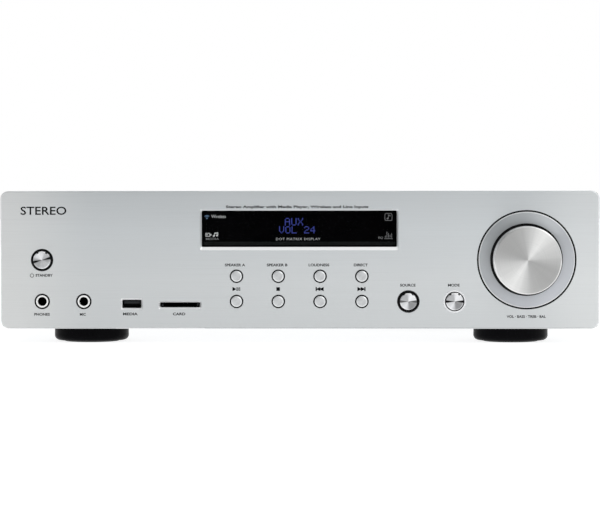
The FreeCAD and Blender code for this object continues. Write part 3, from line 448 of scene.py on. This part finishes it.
def mat_ribbon():
    t = Tree("ribbon_grey")
    x, y, z = t.xyz()
    w = t.math("SINE", t.math("MULTIPLY", x, 2 * math.pi / 0.00127))
    n = t.noise(t.mapped(), 500.0, 2.0, 0.5)
    t.colour(t.mix(t.maprange(w, -1, 1, 0, 0.6), (0.36, 0.37, 0.39), t.ramp(n, [(0.3, (0.50, 0.51, 0.53)), (0.7, (0.58, 0.59, 0.61))])))
    t.rough(t.maprange(n, 0.3, 0.7, 0.4, 0.55))
    t.bump(w, 0.4, 0.0002)
    return t.mat


fascia = mat_fascia()
window = mat_window()
dish = mat_dish()
# the knob, buttons and keys carry painted reflections, highlights and shade on their turned faces
knob = turned("knob_spun", VOL.x, VOL.z, srgb(231, 231, 230), roughness=0.36, anis=0.9, skirt_shade=-0.0012, sector_reflection=0.24, lean=-4, lip_highlight=0.02345)
buttons = {}
for b, lean, cross, wedge_reflection, shine_highlight, hem_shade in (("standby_button", 72, 14, 0.97, 0.5, 0.00625), ("source_button", 0, 0, 0.8, 0.0, 0.0060),
                                          ("mode_button", 0, 0, 0.99, 0.0, 0.00625)):
    c = centre(b)
    buttons[b] = turned(b + "_spun", c.x, c.z, srgb(240, 241, 243), roughness=0.30, anis=0.9, skirt_shade=0.0001, sector_reflection=0.40, wedge_reflection=wedge_reflection,
                        lean=lean, cross=cross, shine_highlight=shine_highlight, rim_reflection=0.0054, hem_shade=hem_shade)
KEYS = ("key_speaker_a", "key_speaker_b", "key_loudness", "key_direct", "key_play_pause", "key_stop", "key_previous", "key_next")
for k in KEYS:
    c = centre(k)
    buttons[k] = turned(k + "_spun", c.x, c.z, srgb(226, 228, 229), roughness=0.42, anis=0.3, skirt_shade=-0.0001, sector_reflection=0.03, flat=0.0031, hem_shade=0.00388)
black_gloss = mat_plastic("bezel_gloss_black", BLACK, 0.22, 300.0, 0.00001, 0.05, gloss=0.18)
mc = centre("mode_bezel")
bright_ring = mat_rings("bezel_bright_ring", mc.x, mc.z, 0.00690, srgb(250, 251, 253), (0.05, 0.05, 0.055))
jack_black = mat_plastic("jack_moulding", (0.004, 0.004, 0.0045), 0.40, 1600.0, 0.00002, 0.15, gloss=0.06)
# painted shade: the USB shell is made near black for the shade inside its opening; the card slot shares this black
# finish
port_black_and_shade = mat_metal("port_black_shell_and_shade", (0.0045, 0.0045, 0.005), 0.42, 1200.0, 0.10)
port_tongue = mat_plastic("port_tongue", (0.020, 0.021, 0.023), 0.45, 1600.0, 0.00002, 0.15, gloss=0.1)
nickel = mat_metal("nickel_plate", srgb(252, 252, 251), 0.30, 1200.0, 0.02, metal=0.5)
steel = mat_metal("zinc_plate", srgb(190, 193, 196), 0.34, 700.0, 0.06)
black_steel = mat_metal("black_oxide", (0.035, 0.035, 0.037), 0.38, 1500.0, 0.12)
zinc_sheet = mat_metal("zinc_coated_sheet", srgb(176, 180, 184), 0.40, 130.0, 0.08)
paint = mat_textured_paint()
moulding = mat_plastic("black_moulding", (0.012, 0.012, 0.013), 0.42, 2000.0, 0.00003, 0.25, gloss=0.3)
foot_mat = mat_plastic("foot_moulding", (0.0026, 0.0024, 0.0031), 0.34, 1800.0, 0.00003, 0.2, gloss=0.035)
rubber = mat_plastic("pad_rubber", (0.020, 0.020, 0.020), 0.8, 1200.0, 0.00008, 0.5)
board = mat_board()
winding = mat_winding()
brass = mat_metal("plain_brass", (0.62, 0.44, 0.16), 0.3, 900.0, 0.06)
cap_sleeve = mat_plastic("capacitor_sleeve", (0.012, 0.018, 0.045), 0.28, 300.0, 0.00002, 0.1, coat=0.4)
anodised = mat_metal("black_anodised", (0.028, 0.028, 0.030), 0.42, 1000.0, 0.12)
relay = mat_plastic("relay_case", (0.14, 0.16, 0.19), 0.2, 300.0, 0.00001, 0.05, coat=0.5)
ribbon = mat_ribbon()
gilt = mat_metal("gold_flash", (0.86, 0.60, 0.22), 0.2, 1300.0, 0.04)
cap_red = mat_plastic("cap_red", (0.40, 0.010, 0.012), 0.18, 400.0, 0.00001, 0.06, var=0.15, coat=0.6)
cap_black = mat_plastic("cap_black", (0.010, 0.010, 0.011), 0.2, 400.0, 0.00001, 0.06, coat=0.6)
display_glass = mat_plastic("display_glass", (0.0010, 0.0010, 0.0016), 0.30, 200.0, 0.00001, 0.03, gloss=0.04)

paint_of = {
    "front_panel": fascia, "display_window": window, "display_module": display_glass, "volume_dish": dish,
    "volume_knob": knob, "encoder_shaft": steel, "volume_encoder": steel, "button_bezels": black_gloss, "mode_bezel": bright_ring,
    "tact_switches": moulding, "phones_jack": jack_black, "mic_jack": jack_black, "usb_port": port_black_and_shade, "card_slot": port_black_and_shade,
    "front_frame": moulding, "control_board": board, "main_board": board, "input_board": board, "wireless_module": board,
    "chassis_base": zinc_sheet, "rear_panel": paint, "top_cover": paint, "feet": foot_mat, "foot_pads": rubber, "foot_screws": black_steel,
    "transformer": winding, "transformer_clamp": steel, "standoffs": brass, "filter_capacitors": cap_sleeve, "heatsink": anodised,
    "output_transistors": moulding, "speaker_relays": relay, "ribbon_cable": ribbon, "speaker_terminal_block": moulding,
    "terminal_posts": gilt, "phono_block": moulding, "phono_sockets": gilt, "mains_inlet": moulding,
    "case_screws": black_steel, "bottom_screws": black_steel, "internal_screws": steel,
}
for n in nodes:
    if n in buttons:
        paint_of[n] = buttons[n]
    elif n.startswith("terminal_cap_"):
        paint_of[n] = cap_red if n.endswith("plus") else cap_black


def islands(mesh):
    """Face lists of each connected part of a mesh."""
    parent = list(range(len(mesh.vertices)))

    def find(i):
        while parent[i] != i:
            parent[i] = parent[parent[i]]
            i = parent[i]
        return i
    # joined by place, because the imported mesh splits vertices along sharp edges
    seen = {}
    for v in mesh.vertices:
        k = (round(v.co.x * 2e5), round(v.co.y * 2e5), round(v.co.z * 2e5))
        if k in seen:
            parent[find(v.index)] = find(seen[k])
        else:
            seen[k] = v.index
    for p in mesh.polygons:
        vs = p.vertices
        for i in vs[1:]:
            parent[find(i)] = find(vs[0])
    out = {}
    for p in mesh.polygons:
        out.setdefault(find(p.vertices[0]), []).append(p.index)
    return list(out.values())


def face_centre(mesh, i):
    return mesh.polygons[i].center


for name, o in nodes.items():
    o.data.materials.clear()
    o.data.materials.append(paint_of[name])

# second finishes inside one node
def second(node, mat, test):
    me = nodes[node].data
    me.materials.append(mat)
    k = len(me.materials) - 1
    for p in me.polygons:
        if test(p.center, p.normal):
            p.material_index = k


for j in ("phones_jack", "mic_jack"):
    c = centre(j)
    second(j, nickel, lambda p, n, c=c: p.y < YF + 3.6 * MM and math.hypot(p.x - c.x, p.z - (ZP + 19.6 * MM)) < 4.42 * MM)
pc = centre("usb_port")
second("usb_port", port_tongue, lambda p, n: abs(p.x - pc.x) < 6.22 * MM and YF + 2.7 * MM < p.y < YF + 15.1 * MM and p.z > ZP + 15.3 * MM and (p.y > YF + 12 * MM or abs(p.x - pc.x) < 5.65 * MM) and abs(p.z - ZP - 17.8 * MM) < 2.47 * MM)
cc = centre("card_slot")
second("card_slot", port_tongue, lambda p, n: n.y < -0.9 and p.y < YF + 2.4 * MM and 11.6 * MM < abs(p.x - cc.x) < 13.4 * MM)
second("phono_sockets", mat_plastic("socket_insulator_white", (0.62, 0.62, 0.60), 0.4, 600.0, 0.00001, 0.05, var=0.06),
       lambda p, n: min(math.hypot(p.x - x * MM, p.z - 66 * MM) for x in (66, 88, 110, 132, 154)) < 3.56 * MM)
second("phono_sockets", mat_plastic("socket_insulator_red", (0.45, 0.02, 0.02), 0.4, 600.0, 0.00001, 0.05, var=0.06),
       lambda p, n: min(math.hypot(p.x - x * MM, p.z - 46 * MM) for x in (66, 88, 110, 132, 154)) < 3.56 * MM)
second("mains_inlet", nickel, lambda p, n: (abs(p.y - (YR - 12.0 * MM)) < 13.5 * MM and any(
    abs(p.x - (-185 + dx) * MM) < 1.05 * MM and abs(p.z - dz * MM) < 2.05 * MM and p.y > YR - 12.4 * MM for dx, dz in ((-7, 40.0), (7, 40.0), (0, 44.5))))
    or p.y < YR - 15.6 * MM)
second("filter_capacitors", steel, lambda p, n: n.z > 0.9)
second("transformer_clamp", rubber, lambda p, n: (13.9 * MM < p.z < 16.1 * MM and math.hypot(p.x + 0.13, p.y + 0.04) > 3.15 * MM))


# ------------------------------------------------------------------ small mesh pieces
def make(name, verts, faces, mat, body="case", smooth=False):
    me = bpy.data.meshes.new(name)
    me.from_pydata([tuple(v) for v in verts], [], faces)
    me.update()
    bm = bmesh.new()
    bm.from_mesh(me)
    bmesh.ops.recalc_face_normals(bm, faces=bm.faces)
    bm.to_mesh(me)
    bm.free()
    o = bpy.data.objects.new(name, me)
    scene.collection.objects.link(o)
    me.materials.append(mat)
    for p in me.polygons:
        p.use_smooth = smooth
    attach(o, body)
    return o


class Ink:
    """A set of thin flat solids on a plane facing -Y (side -1) or +Y (side +1), collected into one mesh. Its lengths are
    in millimetres: x from the object's middle and z from z0."""
    def __init__(self, y, thick=0.03, side=-1, z0=0.0):
        self.y0, self.y1 = y, y + side * thick * MM
        self.side, self.z0 = side, z0
        self.v, self.f = [], []

    def poly(self, pts):
        """Closed outline of (x, z) points."""
        n = len(pts)
        b = len(self.v)
        self.v += [(x * MM, self.y0, self.z0 + z * MM) for x, z in pts] + [(x * MM, self.y1, self.z0 + z * MM) for x, z in pts]
        self.f.append(tuple(range(b, b + n)))
        self.f.append(tuple(range(b + 2 * n - 1, b + n - 1, -1)))
        for i in range(n):
            j = (i + 1) % n
            self.f.append((b + i, b + n + i, b + n + j, b + j))

    def rect(self, x0, x1, z0, z1):
        self.poly([(x0, z0), (x1, z0), (x1, z1), (x0, z1)])

    def disc(self, x, z, r, n=20):
        self.poly([(x + r * math.cos(2 * math.pi * i / n), z + r * math.sin(2 * math.pi * i / n)) for i in range(n)])

    def arc(self, x, z, r0, r1, a0, a1, n=18):
        """Ring sector from angle a0 to a1 in degrees."""
        for i in range(n):
            p, q = math.radians(a0 + (a1 - a0) * i / n), math.radians(a0 + (a1 - a0) * (i + 1) / n)
            self.poly([(x + r0 * math.cos(p), z + r0 * math.sin(p)), (x + r1 * math.cos(p), z + r1 * math.sin(p)),
                       (x + r1 * math.cos(q), z + r1 * math.sin(q)), (x + r0 * math.cos(q), z + r0 * math.sin(q))])

    def frame(self, x0, x1, z0, z1, w):
        self.rect(x0, x1, z0, z0 + w)
        self.rect(x0, x1, z1 - w, z1)
        self.rect(x0, x0 + w, z0 + w, z1 - w)
        self.rect(x1 - w, x1, z0 + w, z1 - w)

    def tri(self, x, z, h, w):
        """Blunt triangle with its upright side at x, half height h, pointing w to the right (or left, if negative)."""
        self.poly([(x, z - h), (x + w, z - 0.3), (x + w, z + 0.3), (x, z + h)])

    def text(self, words, xc, zc, h, width=None, bold=0.0, space=1.0):
        """Lettering with capitals of height h, centred on (xc, zc), optionally fitted to a width."""
        def mesh_of(body, offset):
            cu = bpy.data.curves.new("words", "FONT")
            cu.body = body
            cu.size = 1.0
            cu.space_character = space
            cu.offset = offset
            cu.resolution_u = 3
            ob = bpy.data.objects.new("words", cu)
            scene.collection.objects.link(ob)
            bpy.context.view_layer.update()
            me = bpy.data.meshes.new_from_object(ob.evaluated_get(bpy.context.evaluated_depsgraph_get()))
            bpy.data.objects.remove(ob)
            bpy.data.curves.remove(cu)
            return me
        me, ref = mesh_of(words, bold), mesh_of("H", 0.0)
        cap = max(v.co.y for v in ref.vertices) - min(v.co.y for v in ref.vertices)
        bpy.data.meshes.remove(ref)
        bm = bmesh.new()
        bm.from_mesh(me)
        bpy.data.meshes.remove(me)
        bmesh.ops.remove_doubles(bm, verts=bm.verts, dist=1e-5)
        xs = [v.co.x for v in bm.verts]
        x0, x1 = min(xs), max(xs)
        k = h / cap
        kx = width / (x1 - x0) if width else k
        flip = -1 if self.side > 0 else 1
        # a face extruded into a thin closed solid
        geom = bmesh.ops.extrude_face_region(bm, geom=list(bm.faces))
        mark = {g for g in geom["geom"] if isinstance(g, bmesh.types.BMVert)}
        base = len(self.v)
        bm.verts.index_update()
        for v in bm.verts:
            y = self.y1 if v in mark else self.y0
            self.v.append(((xc + flip * (v.co.x - (x0 + x1) / 2) * kx) * MM, y, self.z0 + (zc + (v.co.y - cap / 2) * k) * MM))
        for f in bm.faces:
            self.f.append(tuple(base + v.index for v in f.verts))
        bm.free()

    def done(self, name, mat, body="case"):
        return make(name, self.v, self.f, mat, body)


# ------------------------------------------------------------------ legends on the front
LIFT = 0.00001
dark = mat_print("print_black", (0.004, 0.0045, 0.0055))
front = Ink(YF - LIFT, z0=ZP)
front.text("STEREO", -183.8, 84.85, 5.6, 33.0, bold=0.012)
front.text("Stereo Amplifier with Media Player, Wireless and Line Inputs", -1.4, 87.6, 1.65, 102.2, bold=0.034)
# standby: power symbol and word
front.arc(-192.3, 38.3, 1.10, 1.48, 125, 415, 22)
front.rect(-192.49, -192.11, 38.8, 40.2)
SMALL = 1.75
for words, x, z, w in (("STANDBY", -183.5, 38.4, 12.4), ("PHONES", -185.1, 10.3, 11.2), ("MIC", -155.75, 10.3, 4.2),
                       ("MEDIA", -121.45, 10.6, 10.6), ("CARD", -86.35, 10.6, 9.0),
                       ("SPEAKER A", -46.1, 45.8, 14.6), ("SPEAKER B", -15.8, 45.8, 14.8), ("LOUDNESS", 14.2, 45.8, 14.8),
                       ("DIRECT", 44.2, 45.8, 10.0), ("SOURCE", 77.95, 31.3, 11.1), ("MODE", 110.85, 31.3, 8.3),
                       ("VOL · BASS · TREB · BAL", 162.7, 8.8, 28.0)):
    front.text(words, x, z, SMALL, w, bold=0.030)
# transport symbols above the lower row of keys
zt, s = 28.5, 1.5
kx = [centre(k).x / MM for k in KEYS[4:]]
front.tri(kx[0] - 2.9, zt, s, 2.4)
for dx in (-0.1, 1.4):
    front.frame(kx[0] + dx, kx[0] + dx + 1.2, zt - 1.15, zt + 1.15, 0.42)
front.rect(kx[1] - 1.4, kx[1] + 1.2, zt - 1.3, zt + 1.3)
for k, way in ((kx[2] - 0.3, -1), (kx[3] - 0.3, 1)):
    front.tri(k - way * 2.9, zt, s, way * 2.7)
    front.tri(k - way * 0.5, zt, s, way * 2.7)
    front.rect(min(k + way * 2.1, k + way * 2.9), max(k + way * 2.1, k + way * 2.9), zt - s, zt + s)
front.done("print_front", dark)

# ------------------------------------------------------------------ display
DOTS = {
    "A": "01110 10001 10001 11111 10001 10001 10001", "U": "10001 10001 10001 10001 10001 10001 01110",
    "X": "10001 10001 01010 00100 01010 10001 10001", "V": "10001 10001 10001 10001 10001 01010 00100",
    "O": "01110 10001 10001 10001 10001 10001 01110", "L": "10000 10000 10000 10000 10000 10000 11111",
    " ": "00000 00000 00000 00000 00000 00000 00000", "2": "01110 10001 00001 00110 01000 10000 11111",
    "4": "00010 00110 01010 10010 11111 00010 00010",
}
glow = mat_print("dot_matrix_glow", (0.10, 0.13, 0.60), emit=1.0)
y_print = win_hi.y + 0.00002
dots = Ink(y_print + 0.00006, z0=ZP)


def matrix(words, x0, x1, z0, z1):
    dx = (x1 - x0) / (len(words) * 6 - 1)
    dz = (z1 - z0) / 7
    for i, ch in enumerate(words):
        for r, row in enumerate(DOTS[ch].split()):
            for c, bit in enumerate(row):
                if bit == "1":
                    x = x0 + (i * 6 + c) * dx
                    z = z1 - (r + 1) * dz
                    dots.rect(x + dx * 0.07, x + dx * 0.93, z + dz * 0.07, z + dz * 0.93)


matrix("AUX", -10.5, 2.7, 74.0, 79.5)
matrix("VOL 24", -14.6, 11.6, 68.3, 73.5)
dots.done("display_dots", glow)

# legends printed on the back of the window, painted to glow so they read through its tint
pale = mat_print("print_window_pale", (0.80, 0.82, 0.82), emit=1.2)
wp = Ink(y_print + 0.00003, z0=ZP)
wp.text("DOT MATRIX DISPLAY", -0.85, 64.3, 1.75, 31.9, bold=-0.004, space=1.15)
wp.text("Wireless", -58.2, 80.6, 2.3, 10.4, bold=0.004)
# media: a plug and two notes, with a word below
wp.frame(-67.6, -64.3, 66.0, 68.7, 0.5)
wp.rect(-64.3, -63.3, 66.7, 68.0)
wp.rect(-67.0, -65.9, 67.0, 67.7)
wp.disc(-61.6, 66.6, 0.75, 14)
wp.disc(-59.3, 66.9, 0.75, 14)
wp.rect(-61.2, -60.8, 66.6, 68.7)
wp.rect(-58.9, -58.5, 66.9, 69.0)
wp.poly([(-61.2, 68.1), (-58.5, 68.4), (-58.5, 69.1), (-61.2, 68.8)])
wp.done("print_window", pale)

# painted glow: a printed blue mark made to glow
tint = mat_print("print_window_blue", (0.30, 0.50, 0.78), emit=0.8)
wb = Ink(y_print + 0.00003, z0=ZP)
wb.disc(-66.6, 79.2, 0.5, 14)
for r in (1.25, 2.15):
    wb.arc(-66.6, 79.2, r - 0.22, r + 0.22, 40, 140, 12)
wb.done("print_window_waves", tint)

# painted glow: printed grey legends and marks made to glow
soft = mat_print("print_window_grey", (0.48, 0.49, 0.50), emit=0.6)
wg = Ink(y_print + 0.00003, z0=ZP)
wg.text("MEDIA", -62.6, 64.4, 1.5, 9.6, bold=0.012)
# level bars with a word beside them
for i, h in enumerate((1.6, 4.4, 3.2, 2.2, 3.2)):
    x = 61.6 + i * 1.15
    wg.rect(x, x + 0.42, 65.2, 65.2 + h)
wg.rect(61.0, 67.2, 64.3, 64.7)
wg.text("EQ", 58.4, 65.2, 1.5, 3.2, bold=0.012)
# a note in a rounded square
for x, z, a0 in ((62.6, 78.6, 180), (65.6, 78.6, 270), (65.6, 81.6, 0), (62.6, 81.6, 90)):
    wg.arc(x, z, 0.85, 1.25, a0, a0 + 90, 6)
for x0, x1, z0, z1 in ((62.6, 65.6, 77.35, 77.75), (62.6, 65.6, 82.45, 82.85), (61.35, 61.75, 78.6, 81.6), (66.45, 66.85, 78.6, 81.6)):
    wg.rect(x0, x1, z0, z1)
wg.disc(63.5, 79.0, 0.7, 14)
wg.rect(63.85, 64.25, 79.0, 81.9)
wg.poly([(64.25, 81.9), (65.5, 81.1), (65.5, 80.4), (64.25, 81.1)])
wg.done("print_window_icon", soft)

# the dark grey lower border behind the window
band = mat_print("print_window_band", (0.085, 0.095, 0.095))
bd = Ink(y_print + 0.00003, z0=ZP)
bd.rect(-69.2, 69.2, 59.8, 62.4)
bd.done("print_window_band", band)

# ------------------------------------------------------------------ legends on the back
white = mat_print("print_white", (0.62, 0.62, 0.60))
back = Ink(YR + LIFT, side=1)
for x, w in zip((66, 88, 110, 132, 154), ("AUX", "DISC", "TUNER", "TAPE IN", "TAPE OUT")):
    back.text(w, x, 76.5, 2.0, min(len(w) * 1.7, 13.5))
back.text("L", 167.5, 66, 2.6)
back.text("R", 167.5, 46, 2.6)
back.text("LINE", 110, 83, 2.6)
back.frame(54, 172, 35.5, 88, 0.3)
back.text("SPEAKERS", -75.5, 95.5, 2.8)
back.text("A", -136, 74, 3.4)
back.text("B", -136, 44, 3.4)
back.text("AC IN", -185, 59, 2.6)
back.done("print_back", white)
tb = Ink(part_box("speaker_terminal_block")[1].y - 0.0024 + LIFT, side=1)
for z in (74, 44):
    for x, w in zip((-110, -91, -60, -41), ("-", "+", "-", "+")):
        tb.rect(x - 1.3, x + 1.3, z + 10.3, z + 10.8)
        if w == "+":
            tb.rect(x - 0.25, x + 0.25, z + 9.25, z + 10.3)
            tb.rect(x - 0.25, x + 0.25, z + 10.8, z + 11.85)
    tb.text("R", -100.5, z + 10.6, 2.2)
    tb.text("L", -50.5, z + 10.6, 2.2)
tb.done("print_terminals", white)

# ------------------------------------------------------------------ floor, light and camera
def stage_floor():
    me = bpy.data.meshes.new("stage_floor")
    me.from_pydata([(-4, -1.35, 0), (4, -1.35, 0), (4, 5, 0), (-4, 5, 0)], [], [(0, 1, 2, 3)])
    o = bpy.data.objects.new("stage_floor", me)
    scene.collection.objects.link(o)
    m = bpy.data.materials.new("stage_floor")
    m.use_nodes = True
    nt = m.node_tree
    nt.nodes.clear()
    out = nt.nodes.new("ShaderNodeOutputMaterial")
    dif = nt.nodes.new("ShaderNodeBsdfDiffuse")
    dif.inputs["Color"].default_value = (0.40, 0.40, 0.40, 1)
    em = nt.nodes.new("ShaderNodeEmission")
    em.inputs["Strength"].default_value = FLOOR_GLOW
    add = nt.nodes.new("ShaderNodeAddShader")
    nt.links.new(dif.outputs[0], add.inputs[0])
    nt.links.new(em.outputs[0], add.inputs[1])
    nt.links.new(add.outputs[0], out.inputs[0])
    me.materials.append(m)


FLOOR_GLOW = 0.86
stage_floor()


class Sky(Tree):
    """A white tent: bright overhead and to the upper right, dimmer to the left, with the dark gap in front that a camera
    leaves between the roof of the tent and its table."""
    def __init__(self):
        w = bpy.data.worlds.new("studio")
        scene.world = w
        w.use_nodes = True
        self.nt = w.node_tree
        self.nt.nodes.clear()
        self.coord = self.nt.nodes.new("ShaderNodeTexCoord")
        x, y, z = self.xyz(self.coord.outputs["Generated"])
        across = self.math("SQRT", self.math("ADD", self.math("MULTIPLY", x, x), self.math("MULTIPLY", z, z)))
        sx = self.math("DIVIDE", x, self.math("MAXIMUM", across, 0.001))
        right = self.maprange(sx, -0.22, 0.22, 0.0, 1.0, smooth=True)
        wall = self.math("ADD", SKY_LEFT, self.math("MULTIPLY", right, SKY_RIGHT - SKY_LEFT))
        top = self.maprange(z, 0.72, 0.93, 0.0, 1.0, smooth=True)
        lum = self.math("ADD", self.math("MULTIPLY", wall, self.math("SUBTRACT", 1.0, top)), self.math("MULTIPLY", top, SKY_TOP))
        below = self.math("LESS_THAN", z, 0.0)
        lum = self.math("ADD", self.math("MULTIPLY", lum, self.math("SUBTRACT", 1.0, below)), self.math("MULTIPLY", below, SKY_LOW))
        ahead = self.maprange(y, -0.75, -0.35, 1.0, 0.0, smooth=True)
        low = self.maprange(self.math("ABSOLUTE", z), 0.05, 0.20, 1.0, 0.0, smooth=True)
        narrow = self.maprange(self.math("ABSOLUTE", x), 0.18, 0.42, 1.0, 0.0, smooth=True)
        gap = self.math("MULTIPLY", self.math("MULTIPLY", ahead, low), narrow)
        lum = self.math("MULTIPLY", lum, self.math("SUBTRACT", 1.0, self.math("MULTIPLY", gap, 0.97)))
        tint = self.mix(1.0, SKY_TINT, 1.0, "MULTIPLY")
        seen = self.nt.nodes.new("ShaderNodeBackground")
        seen.inputs["Color"].default_value = (1, 1, 1, 1)
        seen.inputs["Strength"].default_value = 1.0
        bg = self.nt.nodes.new("ShaderNodeBackground")
        self.link(tint, bg.inputs["Color"])
        self.link(lum, bg.inputs["Strength"])
        lp = self.nt.nodes.new("ShaderNodeLightPath")
        mx = self.nt.nodes.new("ShaderNodeMixShader")
        out = self.nt.nodes.new("ShaderNodeOutputWorld")
        self.link(lp.outputs["Is Camera Ray"], mx.inputs[0])
        self.link(bg.outputs[0], mx.inputs[1])
        self.link(seen.outputs[0], mx.inputs[2])
        self.link(mx.outputs[0], out.inputs[0])


SKY_LEFT, SKY_RIGHT, SKY_TOP, SKY_LOW = 0.34, 0.86, 1.10, 0.55
SKY_TINT = (0.975, 0.99, 1.0)
Sky()


def area(name, pos, target, size, power, colour=(1, 1, 1)):
    d = bpy.data.lights.new(name, "AREA")
    d.shape = "RECTANGLE"
    d.size, d.size_y = size
    d.energy = power
    d.color = colour
    o = bpy.data.objects.new(name, d)
    scene.collection.objects.link(o)
    o.location = pos
    o.rotation_euler = (Vector(target) - Vector(pos)).to_track_quat("-Z", "Y").to_euler()
    return o


area("key_soft", (1.3, -1.5, 1.5), (0.05, -0.1, 0.05), (1.0, 1.0), 10, (1.0, 0.99, 0.97))
area("fill_soft", (-1.7, -1.1, 0.55), (-0.05, -0.1, 0.05), (1.2, 0.7), 3, (0.97, 0.98, 1.0))
area("back_soft", (0.3, 1.9, 1.3), (0, 0.1, 0.05), (1.8, 1.0), 10)

# the view: a long lens two metres in front of the panel, a little right of its middle, looking slightly down
cam_data = bpy.data.cameras.new("photo_camera")
cam = bpy.data.objects.new("photo_camera", cam_data)
scene.collection.objects.link(cam)
cam.location = (0.0554, YF - 2.0, 0.1249)
cam.rotation_euler = (Matrix.Rotation(math.radians(1.569), 3, "Z") @ Matrix.Rotation(math.radians(90 - 1.970), 3, "X")
                      @ Matrix.Rotation(math.radians(-0.067), 3, "Z")).to_euler()
cam_data.sensor_fit = "HORIZONTAL"
cam_data.sensor_width = 36.0
cam_data.lens = 167.41
cam_data.clip_start = 0.05
cam_data.clip_end = 60.0
scene.camera = cam
scene.view_settings.view_transform = "Standard"
scene.view_settings.look = "None"
